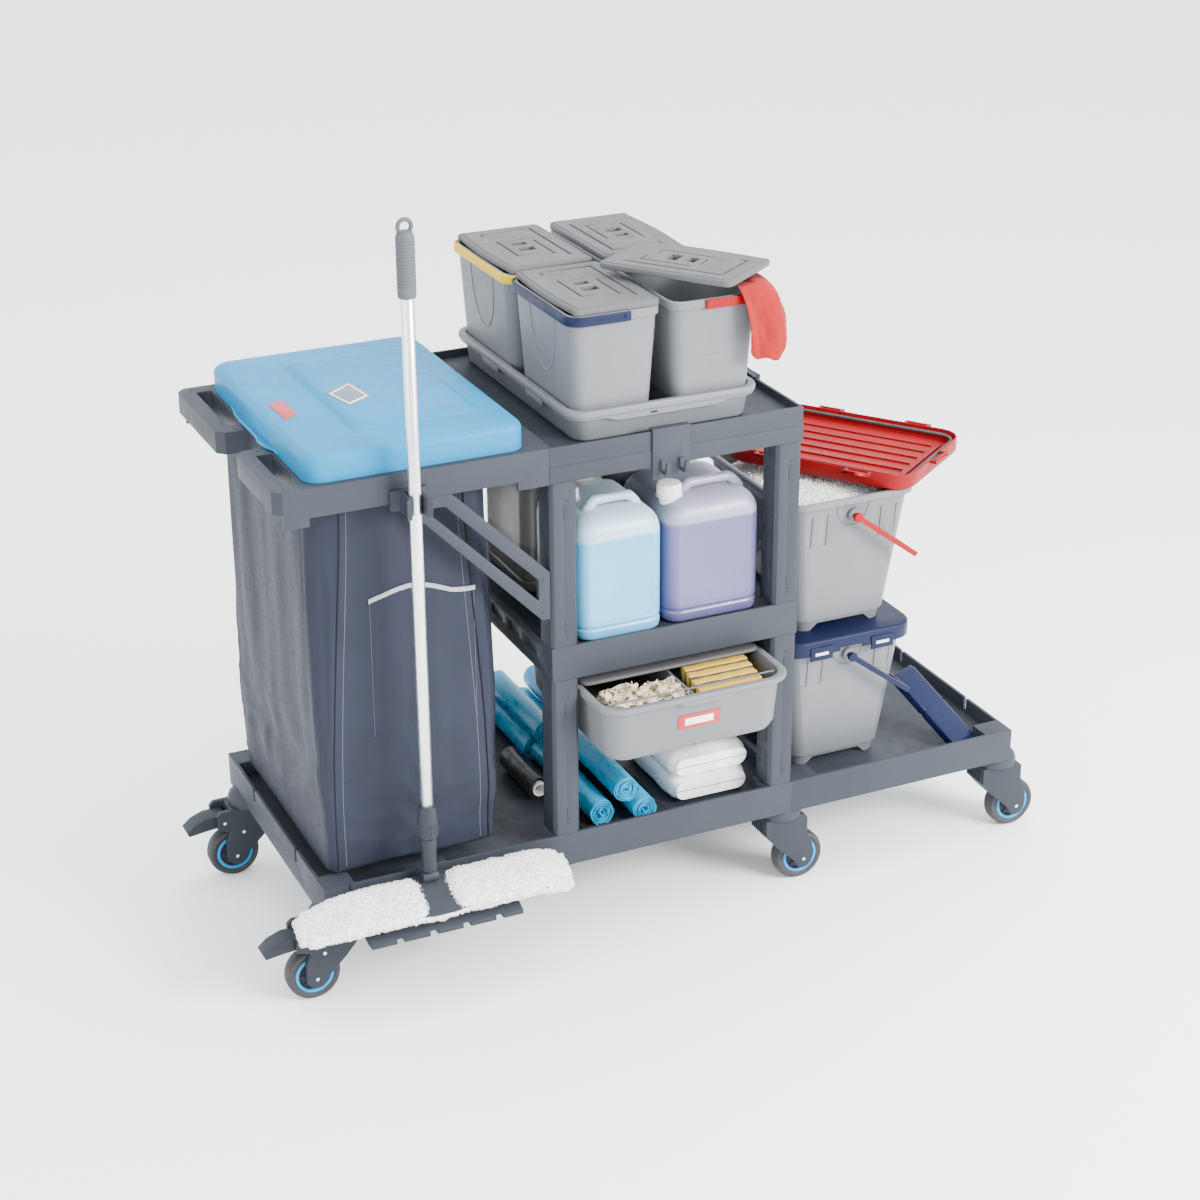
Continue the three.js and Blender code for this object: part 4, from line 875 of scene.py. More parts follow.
finished("bag_lid_lip", lip_mesh, "bag_lid", lid_blue, (), edge=0.6, angle=50)


def printed(name, colour):
    """A smooth printed film with slight waviness."""
    paint, tree, shader, where = wired(name)
    cloud = cloudy(tree, where, 55.0, 4.0)
    tone = blended(tree, ranged(tree, cloud, 0.35, 0.7, 0, 1), shade(colour, 0.95), shade(colour, 1.05))
    tree.links.new(tone, shader.inputs["Base Color"])
    tree.links.new(ranged(tree, cloud, 0.3, 0.7, 0.3, 0.45), shader.inputs["Roughness"])
    raised(tree, shader, cloud, 0.1, 0.3)
    return paint


label_grey = printed("label_grey", (0.1, 0.13, 0.16))
label_red = printed("label_red", (0.4, 0.008, 0.018))
label_white = printed("label_white", (0.85, 0.85, 0.85))


def label(name, corners, z, look, rise=0.5):
    bm = bmesh.new()
    plank(bm, "z", corners, z, z + rise)
    return finished(name, bm, "bag_lid", look, (), 0.2)


label("lid_label_plain", [(140, 276), (157, 194), (208, 226), (197, 319)][::-1], 1042.9, label_grey)
label("lid_label_frame", [(146, 269), (160, 203), (202, 230), (193, 305)][::-1], 1043.3, label_white,
      0.25)
label("lid_label_field", [(149, 266), (161, 209), (199, 233), (191, 299)][::-1], 1043.45, label_grey,
      0.25)
label("lid_label_red", [(41, 290), (43, 202), (71, 217), (69, 298)][::-1], 1033.0, label_red,
      1.4)

# ---- Flat mop, its clip and its rest -------------------------------------------------------------
# A brushed aluminium pole with a moulded grip and a clamping socket, held by a sprung clip. Its
# hinged head carries a looped cotton pad and stands on a toothed bracket on the front rim.
POLE_X, POLE_Y = 184, -34
pole_alloy = metal("pole_alloy", (0.8, 0.81, 0.82), 0.3, (60.0, 60.0, 1.0), 12.0)
grip_plastic = moulded("grip_plastic", (0.085, 0.09, 0.1), 0.6, 600, 0.3)
refined("mop_clip", caster_plastic, 1.2, segments=3)
refined("mop_rest", caster_plastic, 1.2)
refined("mop_frame", caster_plastic, 1.6, segments=3)
centre = (POLE_X, POLE_Y, 0)
pole = bmesh.new()
lathe(pole, "z", [(9.5, 362), (11, 364), (11, 1292), (9.5, 1294)], centre, 48)
for z in (560, 886):
    lathe(pole, "z", [(11, z - 0.6), (11.25, z), (11.25, z + 1.0), (11, z + 1.6)], centre, 48)
finished("mop_tube", pole, "mop", pole_alloy, ["mop_pole"], angle=40)
socket = bmesh.new()
lathe(socket, "z", [(10, 249.4), (12.4, 250), (13, 252), (13.6, 285), (14.2, 300), (15, 304), (15, 309),
                    (14.2, 312), (14.2, 315)], centre, 48)
lathe(socket, "z", [(14.4, 316), (16.8, 318), (18.4, 324), (18.4, 348), (17.6, 352), (15.4, 374),
                    (14.6, 377.6), (11.4, 378)], centre, 48)
finished("mop_socket", socket, "mop", caster_plastic, (), angle=40)


def ridges(bm, centre, reach, z0, z1, count, thick, sides):
    """Upright ridges round a cap or a collar."""
    for step in range(count):
        angle = 2 * math.pi * step / count
        x, y = centre[0] + reach * math.cos(angle), centre[1] + reach * math.sin(angle)
        pipe(bm, [(x, y, z0), (x, y, z1)], thick, sides)


knurl = bmesh.new()
ridges(knurl, centre, 18.2, 325, 347, 24, 1.0, 6)
finished("mop_socket_grips", knurl, "mop", caster_plastic, (), angle=60)
grip = bmesh.new()
profile = [(11.2, 1293.4), (14.4, 1294), (15.4, 1300), (15.2, 1306)]
for step in range(16):
    z = 1310 + step * 5.2
    profile += [(15.6, z), (15.6, z + 3.2), (14.9, z + 4.0), (14.9, z + 4.6)]
profile += [(14.4, 1396), (12, 1400), (8.5, 1402)]
lathe(grip, "z", profile, centre, 48)
ring_path = []
for step in range(41):
    angle = 2 * math.pi * step / 40
    ring_path.append((POLE_X + 11.3 * math.cos(angle), POLE_Y, 1409 + 11.3 * math.sin(angle)))
pipe(grip, ring_path, 3.7, 12, False)
finished("mop_hand_grip", grip, "mop", grip_plastic, ["mop_grip"], angle=40)
tilt = math.radians(24)
EYE = Vector((POLE_X, POLE_Y, 238))


def on_head(x, across, up):
    """A point on the tilted head: along it, down its slope and off its plate."""
    return (x, EYE.y - across * math.cos(tilt) - up * math.sin(tilt),
            EYE.z - across * math.sin(tilt) + up * math.cos(tilt))


def pile_tree():
    """Geometry Nodes: small loops of yarn standing all over a surface."""
    tree, ends, spread = geometry_tree("loop_pile", {"Geometry": "Geometry", "Density": "Float",
                                                     "Loop": "Float", "Yarn": "Float"})
    points = tree.nodes.new("GeometryNodeDistributePointsOnFaces")
    points.inputs["Seed"].default_value = 11
    circle = tree.nodes.new("GeometryNodeCurvePrimitiveCircle")
    circle.inputs["Resolution"].default_value = 6
    thread = tree.nodes.new("GeometryNodeCurvePrimitiveCircle")
    thread.inputs["Resolution"].default_value = 3
    tube = tree.nodes.new("GeometryNodeCurveToMesh")
    stand = tree.nodes.new("GeometryNodeTransform")
    stand.inputs["Rotation"].default_value = (math.pi / 2, 0, 0)
    spin = tree.nodes.new("FunctionNodeRandomValue")
    spin.data_type = "FLOAT_VECTOR"
    spin.inputs["Min"].default_value = (-0.7, -0.7, 0.0)
    spin.inputs["Max"].default_value = (0.7, 0.7, 6.28)
    spin.inputs["Seed"].default_value = 3
    size = tree.nodes.new("FunctionNodeRandomValue")
    size.inputs[2].default_value = 0.7
    size.inputs[3].default_value = 1.35
    size.inputs["Seed"].default_value = 5
    turned = tree.nodes.new("FunctionNodeRotateRotation")
    turned.rotation_space = "LOCAL"
    euler = tree.nodes.new("FunctionNodeEulerToRotation")
    joined(tree, (ends, "Geometry", points, "Mesh"), (ends, "Density", points, "Density"),
           (ends, "Loop", circle, "Radius"), (ends, "Yarn", thread, "Radius"),
           (circle, "Curve", tube, "Curve"), (thread, "Curve", tube, "Profile Curve"),
           (tube, "Mesh", stand, "Geometry"), (points, "Points", spread, "Points"),
           (stand, "Geometry", spread, "Instance"), (spin, "Value", euler, "Euler"),
           (points, "Rotation", turned, "Rotation"), (euler, "Rotation", turned, "Rotate By"),
           (turned, "Rotation", spread, "Rotation"), (size, 1, spread, "Scale"))
    return tree


PILE_TREE = pile_tree()


def pile(name, base, body, look, density, loop, yarn):
    """Yarn loops over a finished base piece, as a piece of their own; density is per square metre."""
    piece = grown(name, base.data.copy(), PILE_TREE, Density=float(density), Loop=loop * MM,
                  Yarn=yarn * MM, Material=look)
    piece.data.shade_smooth()
    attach(piece, body)


def yarn_cloth(name, colour, lumps=260.0, depth=0.6, sheen=0.4):
    """Soft cotton or microfibre: clumped fibres with shadowed gaps."""
    paint, tree, shader, where = wired(name)
    clumps = cloudy(tree, where, lumps, 6.0, 0.7)
    broad = cloudy(tree, where, 14.0, 3.0)
    base = blended(tree, ranged(tree, broad, 0.3, 0.7, 0, 1), shade(colour, 0.94), shade(colour, 1.04))
    tone = blended(tree, ranged(tree, clumps, 0.35, 0.6, 0.45, 0), base, shade(colour, 0.72))
    tree.links.new(tone, shader.inputs["Base Color"])
    shader.inputs["Roughness"].default_value = 0.95
    shader.inputs["Sheen Weight"].default_value = sheen
    shader.inputs["Sheen Roughness"].default_value = 0.5
    raised(tree, shader, clumps, depth, 1.2)
    return paint


mop_cotton = yarn_cloth("mop_cotton", (0.86, 0.85, 0.83))
PAD_X = (-68, 441)
PAD_ACROSS = (-13, 81)
pad_mesh = bmesh.new()
pad_rings = []
for step in range(104):
    share = step / 103
    x = PAD_X[0] + (PAD_X[1] - PAD_X[0]) * share
    left, right = max(0.0, 40 - x) / 108, max(0.0, x - 372) / 69
    sway = 3.0 * noise.noise(Vector((x * 0.02, 0, 3)))
    wide = (PAD_ACROSS[1] - PAD_ACROSS[0]) / 2 - 3 - 12 * left ** 2 - 4 * right ** 2
    if share < 0.02 or share > 0.98:
        wide *= 0.8
    ring = []
    for turn in range(36):
        angle = 2 * math.pi * turn / 36
        side, top = math.cos(angle), math.sin(angle)
        across = sum(PAD_ACROSS) / 2 + sway + wide * math.copysign(abs(side) ** 0.6, side)
        across += 2.5 * noise.noise(Vector((x * 0.06, turn * 0.3, 5))) * abs(side)
        low, high = -33, 2 - 8 * left - 12 * right - 16 * math.exp(-(((x - 186.5) / 34) ** 4))
        droop = 14 * left ** 1.5 + (6 + 16 * max(0.0, side)) * right ** 1.4
        middle, tall = (low + high) / 2, (high - low) / 2 * (1 - 0.3 * max(left, right))
        up = middle - droop + tall * math.copysign(abs(top) ** 0.75, top)
        up += 2.2 * noise.noise(Vector((x * 0.05, across * 0.06, 8)))
        ring.append(on_head(x, across, up))
    pad_rings.append(ring)
skin(pad_mesh, pad_rings)
pad = finished("mop_pad_body", pad_mesh, "mop_head", mop_cotton, ["mop_pad"], angle=180)
pile("mop_pad_loops", pad, "mop_head", mop_cotton, 62000, 2.0, 0.6)

# ---- Hook plates ---------------------------------------------------------------------------------
# A small moulded plate that clips over the top shelf's front rim with two hooks for tools, and a
# narrower one over the right rim.
refined("hook_plate", frame_plastic, 1.0, segments=3)
side_plate = bmesh.new()
block(side_plate, 920, 936, 174, 224, 985.6, 990)
block(side_plate, 931.6, 936, 174, 224, 905, 990)
finished("side_hook_plate", side_plate, "frame", frame_plastic, (), 1.0, segments=3)

# ---- Bucket tray and small buckets ---------------------------------------------------------------
# A shallow grey tray on the top shelf holds four tapered buckets. Each has a stepped foot, a rim
# flange, a bowed lid with cast grooves and two finger holes, and a coloured U handle.
TRAY = (674, 291.4, 368, 540.8)  # centre and size over its rim
BUCKET_GREY = (0.135, 0.142, 0.152)
LID_GREY = (0.085, 0.085, 0.088)
bucket_plastic = moulded("bucket_plastic", BUCKET_GREY, 0.42, 1100, 0.06, 0.2)
lid_plastic = moulded("lid_plastic", LID_GREY, 0.5, 1300, 0.1, 0.25)
tray_mesh = bmesh.new()
skin(tray_mesh, stacked(*TRAY, [
    (22, 24, 970.4), (18.5, 26, 972.4), (17, 27, 977), (11, 30, 1014), (2.5, 34, 1014),
    (2.5, 34, 1017), (0, 36, 1020), (0, 36, 1027), (1.5, 35, 1030), (11, 29, 1030),
    (13, 27, 1028), (19, 25, 981), (22, 22, 977)]))
front_lip = [(552, 1016), (580, 1007), (770, 1007), (796, 1016)]
plank(tray_mesh, "y", front_lip, 22.4, 24.4)
plank(tray_mesh, "y", front_lip, 558.4, 560.4)
for y0 in (150, 350):
    block(tray_mesh, 491.5, 494, y0, y0 + 70, 1006, 1016)
tray_cut = bmesh.new()
block(tray_cut, 640, 654, 18, 25.6, 1010, 1014)
finished("bucket_tray_moulding", tray_mesh, "tray", bucket_plastic, ["bucket_tray"],
         0.7, carve=tray_cut)

RIM_W, RIM_D = 172, 262


def side_at(z):
    """How far a small bucket's wall stands in from its rim at a height."""
    return 13 - 9 * (z - 48) / 158 if z > 48 else 19


def small_bucket():
    bm = bmesh.new()
    skin(bm, stacked(0, 0, RIM_W, RIM_D, [
        (24, 14, 0), (21.5, 17, 1.5), (20.6, 18, 5), (19, 20, 32), (18, 20, 35), (14, 21, 44),
        (13, 22, 48), (4, 24, 206), (1.5, 25, 206), (0, 26, 207.5), (0, 26, 220), (1.6, 25, 222),
        (4, 23, 222), (6, 22, 220), (7.4, 22, 206), (16, 19, 48), (22, 17, 34), (24, 15, 3)]))
    for side in (-1, 1):
        arch = []
        for step in range(33):
            angle = math.pi * step / 32
            z = 205 - 112 * math.sin(angle) ** 0.8
            arch.append((side * (RIM_W / 2 - side_at(z) + 0.15), 52 * math.cos(angle), z))
        pipe(bm, arch, 1.1, 6)
    for step in range(6):
        z = 74 + 22 * step
        y = RIM_D / 2 - side_at(z)
        length = 20 if step % 2 else 30
        block(bm, -length / 2, length / 2, y - 0.8, y + 0.6, z, z + 1.6)
    return bm


def bowed(shrink, z):
    """The lid's outline: one long side swells out towards -X."""
    points = []
    half_w, half_d = 84, 129
    for step in range(15):
        y = (half_d - 14) * (1 - 2 * step / 14)
        points.append((-82 + 7 - 7 * math.cos(math.pi / 2 * y / half_d) + shrink, y, z))
    for cx, cy, first in ((-half_w + 16, -half_d + 10, 200), (half_w - 14, -half_d + 14, 270),
                          (half_w - 14, half_d - 14, 0), (-half_w + 16, half_d - 10, 90)):
        reach = 10 if cx < 0 else 14
        for step in range(6):
            angle = math.radians(first + (70 if cx < 0 else 90) * step / 5)
            out = reach - shrink
            points.append((cx + out * math.cos(angle), cy + out * math.sin(angle), z))
    return points


def small_lid():
    bm = bmesh.new()
    skin(bm, [bowed(shrink, z) for shrink, z in ((1.4, 0), (0, 1.4), (0, 8.2), (0.6, 9.6), (3.6, 11.2),
                                                 (5, 11.4), (5.6, 10.6), (7.4, 10.6), (8, 12), (9, 12))])
    return bm


def lid_grooves():
    bm = bmesh.new()
    for x0, x1, y0, y1 in ((-46, 58, 95, 101), (52, 57.9, -92, 98), (-45.9, -40, 84, 98),
                           (-36, -32, -62, 44), (-34, -10, -61.9, -58), (30, 34, -74, 26),
                           (10, 32, -73.9, -70), (-18, 16, 34, 38)):
        block(bm, x0, x1, y0, y1, 9.4, 13)
    block(bm, -18, 14, -34, -12, -1, 13)
    block(bm, -16, 12, 4, 22, -1, 13)
    return bm


def handle_band():
    """A U shaped band round three sides of the rim, with soft corners."""
    path = [(24.2, -133.5)]
    for step in range(9):
        angle = math.pi / 2 * step / 8
        path.append((-62 - 26 * math.sin(angle), -107.5 - 26 * math.cos(angle)))
    for step in range(1, 16):
        y = -107.5 + 215 * step / 16
        path.append((-88, y))
    path += [(x, -y) for x, y in path[:10][::-1]]
    bm = bmesh.new()
    rings = []
    for i, (x, y) in enumerate(path):
        before, after = path[max(0, i - 1)], path[min(len(path) - 1, i + 1)]
        out = Vector((after[1] - before[1], before[0] - after[0])).normalized() * -2.1
        section = ((1, -9), (-1, -9), (-1, 7.8), (1, 7.8))
        rings.append([(x + k * out.x, y + k * out.y, z) for k, z in section])
    skin(bm, rings)
    return bm


HANDLE_COLOURS = {"front_left": ("plastic_navy", (0.0045, 0.008, 0.032)),
                  "rear_left": ("plastic_yellow", (0.62, 0.4, 0.0)),
                  "front_right": ("plastic_red", (0.24, 0.001, 0.003)),
                  "rear_right": ("plastic_green", (0.002, 0.12, 0.05))}
coloured = {}
for column, row, key in ((0, 0, "front_left"), (0, 1, "rear_left"), (1, 0, "front_right"),
                         (1, 1, "rear_right")):
    x, y = 579 + column * 190, 155 + row * 272.8
    node = "bucket_" + key
    finished(node + "_moulding", small_bucket(), BODY_OF[node], bucket_plastic, [node],
             0.0, move=place(x, y, 977.3, 180 * column), angle=30)
    node = "bucket_lid_" + key
    spot = place(x, y, 1199.6, 180 * column)
    if key == "front_right":
        spot = place(x - 8, y - 22, 1227.3, 180 + 36)
    finished(node + "_moulding", small_lid(), BODY_OF[node], lid_plastic, [node], 0.35,
             move=spot, carve=lid_grooves())
    slot, colour = HANDLE_COLOURS[key]
    coloured[slot] = moulded(slot, colour, 0.4, 1000, 0.06, 0.15)
    node = "bucket_handle_" + key
    finished(node + "_band", handle_band(), BODY_OF[node], coloured[slot], [node], 1.2,
             move=place(x, y, 1191.3, 180 * column), segments=3, angle=45)
    pivot = x + (17.2 if column == 0 else -17.2)
    for side in (-1, 1):
        studs(f"{node}_pivot_{'front' if side < 0 else 'rear'}", BODY_OF[node], coloured[slot],
              [(pivot, y + side * 135.9, 1191.3)], (0, side, 0), 6.4, 1.6, 0.6)

# A red microfibre cloth, folded once and hung over the rim of the front right bucket.
cloth_red = yarn_cloth("cloth_red", (0.26, 0.0, 0.0), 300.0, 0.9, 0.03)
TUCKED = [(818, 60), (824, 72), (829, 84), (833, 96), (836, 106)]  # inside the bucket
RIM_LINE = [(803, 15), (836, 14), (862, 25), (870, 60), (871, 98)]  # just past its rim
HEM_LINE = [(826, 9), (858, 2), (888, 8), (903, 42), (899, 94)]  # at the bottom, swung out


def along_line(line, share):
    """A smooth curve through a few points."""
    t = min(share, 0.9999) * (len(line) - 1)
    k = int(t)
    t -= k
    a, b, c, d = [Vector(line[min(len(line) - 1, max(0, k + j))]) for j in (-1, 0, 1, 2)]
    curve = (a * 2 - b * 5 + c * 4 - d) * t * t + (b * 3 - c * 3 + d - a) * t ** 3
    return b + ((c - a) * t + curve) / 2


cloth_mesh = bmesh.new()
cloth_rings = []
for i in range(61):
    s = i / 60
    line = []
    for j in range(61):
        v = j / 60
        rim = along_line(RIM_LINE, v)
        wave = 2.6 * math.sin(v * 15 + 1 + s) + 7.0 * noise.noise(Vector((v * 5, s * 2.2, 2)))
        wave += 2.4 * noise.noise(Vector((v * 14, s * 7, 5)))
        if s < 0.3:
            t = s / 0.3
            spot = along_line(TUCKED, v).lerp(rim, t)
            z = 1204 + 10 * math.sin(t * math.pi / 2) + 0.8 * wave * math.sin(t * math.pi)
        else:
            t = (s - 0.3) / 0.7
            out = Vector((math.sin(v * 2.2 - 0.3), -math.cos(v * 2.2 - 0.3)))
            spot = rim.lerp(along_line(HEM_LINE, v), 1 - (1 - t) ** 2) + out * (wave + 5.5) * eased(t * 2)
            fall = 112 + 24 * math.sin(v * 5.2 + 0.2) - 10 * v + 4 * math.sin(v * 23)
            z = 1214 - fall * t ** 1.2
        line.append((spot.x, spot.y, z + 1.5))
    cloth_rings.append(line)
skin(cloth_mesh, cloth_rings, False, False, False)
cloth = finished("cleaning_cloth", cloth_mesh, BODY_OF["red_cloth"], cloth_red, ["red_cloth"],
                 angle=180)
thickened(cloth, BODY_OF["red_cloth"], 2.6, 0)

# ---- Large buckets -------------------------------------------------------------------------------
# Two tall tapered buckets stacked on the low tray, each with a broad rim, pairs of cast grooves, an
# arched foot and a swinging bail. The navy lid is clipped on; the red one lies loose, upside down.
LX, LY, LOWER, UPPER = 1082, 244, 203.3, 488.6
LARGE_W, LARGE_D = 274, 372  # over the rim
lower_navy = coloured["plastic_navy"]
bail_red = coloured["plastic_red"]


def large_wall(z):
    """How far a large bucket's wall stands in from its rim at a height."""
    return 37 - 27 * (z - 20) / 244


def large_bucket():
    bm = bmesh.new()
    tub = [(40, 28, 20), (38, 30, 21), (37, 30, 24), (10, 34, 262), (8.5, 36, 264), (1.5, 39, 264),
           (0, 40, 265.5), (0, 40, 273), (2.5, 39, 276), (9, 34, 276), (12, 32, 273), (13.5, 31, 264),
           (40.5, 27, 25)]
    foot = [(45, 26, 0), (42, 28, 20.6), (51, 20, 20.6), (51, 20, 0)]
    skin(bm, stacked(0, 0, LARGE_W, LARGE_D, tub, 9))
    skin(bm, stacked(0, 0, LARGE_W, LARGE_D, foot + foot[:1], 9), False, False)
    return bm


def bucket_cuts():
    """Grooves below the rim and the arches through the foot."""
    bm = bmesh.new()
    for side in (-1, 1):
        long_wall, short_wall = [
            [(*sorted((face - side * 1.9, face + side * 2)), z) for z, face in
             [(z, side * (reach / 2 - large_wall(z))) for z in (184, 246)]]
            for reach in (LARGE_D, LARGE_W)]
        for x in (-89, -57, 57, 89):
            skin(bm, [[(x - 5, low, z), (x + 5, low, z), (x + 5, high, z), (x - 5, high, z)]
                      for low, high, z in long_wall])
        for y in (-96, -64, 64, 96):
            skin(bm, [[(low, y - 5, z), (high, y - 5, z), (high, y + 5, z), (low, y + 5, z)]
                      for low, high, z in short_wall])
    plank(bm, "y", [(-66, -1), (66, -1), (56, 9), (50, 14), (-50, 14), (-56, 9)], -190, 190)
    plank(bm, "x", [(-104, -1), (104, -1), (94, 9), (88, 14), (-88, 14), (-94, 9)], -140, 140)
    return bm


for key, z, paint in (("lower", LOWER, lower_navy), ("upper", UPPER, bail_red)):
    slot = "plastic_navy" if key == "lower" else "plastic_red"
    node = "large_bucket_" + key
    spot = place(LX, LY, z)
    finished(node + "_moulding", large_bucket(), BODY_OF[node], bucket_plastic, [node],
             0.5, move=spot, carve=bucket_cuts(), angle=30)
    bosses = bmesh.new()
    for side in (-1, 1):
        arch = []
        for step in range(25):
            angle = math.pi * step / 24
            height = 262 - 46 * math.sin(angle)
            reach = LARGE_D / 2 - large_wall(height) + 0.2
            arch.append((34 * math.cos(angle), side * reach, height))
        pipe(bosses, arch, 1.6, 6)
        lathe(bosses, "y", [(13, 174 * side), (13, 182 * side), (11.6, 184 * side)][::side],
              (0, 0, 240), 32)
    finished(node + "_bosses", bosses, BODY_OF[node], bucket_plastic, (), 0.4, move=spot)
    refined("large_handle_" + key, paint, 2.2, segments=3)
refined("large_lid_lower", lower_navy, 2.4, segments=3)
clip_steel = metal("clip_steel", (0.7, 0.71, 0.73), 0.3)
tabs, slots = bmesh.new(), bmesh.new()
for side in (-1, 1):
    for x in (-66, 66):
        near, far = sorted((side * 189, side * 192.4))
        block(tabs, x - 24, x + 24, near, far, 246, 272)
        block(slots, x - 14, x + 14, min(side * 192, side * 193.2), max(side * 192, side * 193.2), 256, 262)
for x in (-141, 141):
    near, far = sorted((x - math.copysign(2, x), x + math.copysign(1.4, x)))
    block(tabs, near, far, -100, -54, 250, 272)
    block(tabs, near, far, 54, 100, 250, 272)
lower_spot = place(LX, LY, LOWER)
finished("large_lid_lower_tabs", tabs, BODY_OF["large_lid_lower"], lower_navy, (), 1.0,
         move=lower_spot, segments=3)
finished("large_lid_lower_slots", slots, BODY_OF["large_lid_lower"], clip_steel, (), 0.3,
         move=lower_spot)

lid_red = moulded("lid_red", (0.2, 0.002, 0.004), 0.42, 900, 0.08, 0.15)
refined("large_lid_upper", lid_red, 1.2)
RED_LID = place(1176, 270, 0, 36)
ribs("large_lid_upper_ribs", BODY_OF["large_lid_upper"], lid_red, 6,
     (-90, -10, 776), (36, 0, 0), (5, 270, 3.4), RED_LID)
ribs("large_lid_upper_end_rib", BODY_OF["large_lid_upper"], lid_red, 2,
     (0, -158, 776), (0, 312, 0), (205, 5, 3.4), RED_LID)
seal_rubber = rubber("seal_rubber", (0.035, 0.035, 0.037))
seal = bmesh.new()
seal_path = rounded(0, 0, 262, 360, 34, 787, 8)
pipe(seal, seal_path + seal_path[:1], 3.2, 10, False)
finished("large_lid_upper_seal", seal, BODY_OF["large_lid_upper"], seal_rubber, (),
         move=RED_LID)
loops = bmesh.new()
for side in (-1, 1):
    for y in (-92, 92):
        for y0 in (y - 26, y + 20):
            block(loops, *sorted((side * 138, side * 154)), y0, y0 + 6, 789, 795)
        block(loops, *sorted((side * 149, side * 154)), y - 26, y + 26, 789, 795)
    block(loops, -30, -24, *sorted((side * 187, side * 202)), 789, 795)
    block(loops, 24, 30, *sorted((side * 187, side * 202)), 789, 795)
    block(loops, -30, 30, *sorted((side * 197, side * 202)), 789, 795)
finished("large_lid_upper_loops", loops, BODY_OF["large_lid_upper"], lid_red, (), 1.2,
         move=RED_LID, segments=3)

heap = bmesh.new()
heap_rings = []
for step in range(15):
    share = step / 14
    lift = math.sin(share * math.pi / 2)
    spread_out = math.cos(share * math.pi / 2) ** 0.7
    ring = []
    for x, y, _ in rounded(0, 0, 236, 330, 60, 0, 9):
        bump = 5 * noise.noise(Vector((x * 0.03, y * 0.03, step * 0.3)))
        ring.append((x * max(0.03, spread_out), y * max(0.03, spread_out), 222 + 40 * lift + bump * lift))
    heap_rings.append(ring)
skin(heap, heap_rings)
mop_heap = finished("string_mop", heap, BODY_OF["large_bucket_upper"], mop_cotton, (),
                    angle=180, move=place(LX, LY, UPPER))
pile("string_mop_loops", mop_heap, BODY_OF["large_bucket_upper"], mop_cotton, 60000, 2.8, 0.8)

# A squared block of clear blue plastic, the handle end of a wringer, leans in the low tray.
slab_blue = milky("slab_blue", (0.004, 0.008, 0.034), 0.3, 0.05)
slab = bmesh.new()
foot_spot, head_spot = Vector((1332, 30, 214)), Vector((1266, 168, 322))
along = (head_spot - foot_spot).normalized()
across = along.cross(Vector((0, 0, 1))).normalized()
up = across.cross(along)
slab_rings = []
for share, inset in ((0, 6), (0.02, 1.5), (0.05, 0), (0.48, 0), (0.5, 2.5), (0.52, 0), (0.95, 0), (1.0, 4)):
    mid = foot_spot + (head_spot - foot_spot) * share
    slab_rings.append([tuple(mid + across * u * (34 - inset) + up * v * (9 - inset * 0.5))
                       for u, v, _ in rounded(0, 0, 2, 2, 0.24, 0, 3)])
skin(slab, slab_rings)
finished("blue_slab", slab, "frame", slab_blue, (), 0.8, angle=40)

# ---- Drawer --------------------------------------------------------------------------------------
# A deep grey tub on two rails below the middle shelf, parted down the middle. It has a flanged rim
# with a swelled grip, a sliding half lid, and a blank card in a red holder on its front.
refined("drawer_lid", lid_plastic, 1.2, segments=3)
drawer_mesh = bmesh.new()
dx = 685  # its middle
skin(drawer_mesh, stacked(dx, 100, 378, 400, [
    (36, 28, 399.8), (29, 33, 401), (25, 36, 404), (18, 40, 417.8), (12, 42, 502), (11, 42, 504.8),
    (1.5, 47, 504.8), (0, 48, 506.2), (0, 48, 512.6), (2, 47, 514.8), (12, 41, 514.8),
    (14.5, 39, 512.8), (15, 39, 504), (21, 37, 418), (30, 31, 403)], 10))
block(drawer_mesh, dx - 1.8, dx + 1.8, -79, 279, 403, 502)
plank(drawer_mesh, "y", [(640, 506), (655, 498), (735, 498), (750, 506)], -100.6, -97)
finished("drawer_tub", drawer_mesh, "drawer", bucket_plastic, ["drawer"], 0.5, angle=32)
ribs("drawer_side_ribs", "drawer", bucket_plastic, 2, (dx, -60, 511), (0, 330, 0),
     (330, 2, 3))
LEAN = 0.068  # of the drawer's front, per millimetre of height
for name, x0, x1, z0, z1, proud, paint, slot in (
        ("drawer_card_holder", 645, 728, 446, 474, 1.8, label_red, "plastic_red"),
        ("drawer_card", 658, 715, 453, 467, 2.3, label_white, "bag_fabric")):
    bm = bmesh.new()
    rings = []
    for z in (z0, z1):
        y = -100 + 18 - (z - 417.8) * LEAN
        rings.append([(x0, y - proud, z), (x1, y - proud, z), (x1, y + 1, z), (x0, y + 1, z)])
    skin(bm, rings)
    finished(name, bm, "drawer", paint, (), 0.5)

# Gloves crumpled in the left half of the drawer, scouring sponges stacked in the right half.
glove_latex = milky("glove_latex", (0.62, 0.53, 0.36), 0.55, 0.15)
random.seed(5)
noise.seed_set(5)  # noise_vector would otherwise take its offsets from the clock
gloves = bmesh.new()
for item in range(24):
    gx, gy = random.uniform(546, 664), random.uniform(-58, 4)
    gz = random.uniform(488, 500)
    line_rings = []
    for i in range(18):
        line = []
        for j in range(12):
            u, v = i / 17 - 0.5, j / 11 - 0.5
            spot = Vector((u * 2.6, v * 2.6, item * 1.7))
            bend = noise.noise_vector(spot) * 24 + noise.noise_vector(spot * 2.6) * 11
            line.append((gx + u * 58 + bend.x, gy + v * 40 + bend.y * 0.9, gz + bend.z * 0.9))
        line_rings.append(line)
    for row in line_rings:
        for j, (x, y, z) in enumerate(row):
            row[j] = (min(678, max(532, x)), min(14, max(-76, y)), min(512, max(440, z)))
    skin(gloves, line_rings, False, False, False)
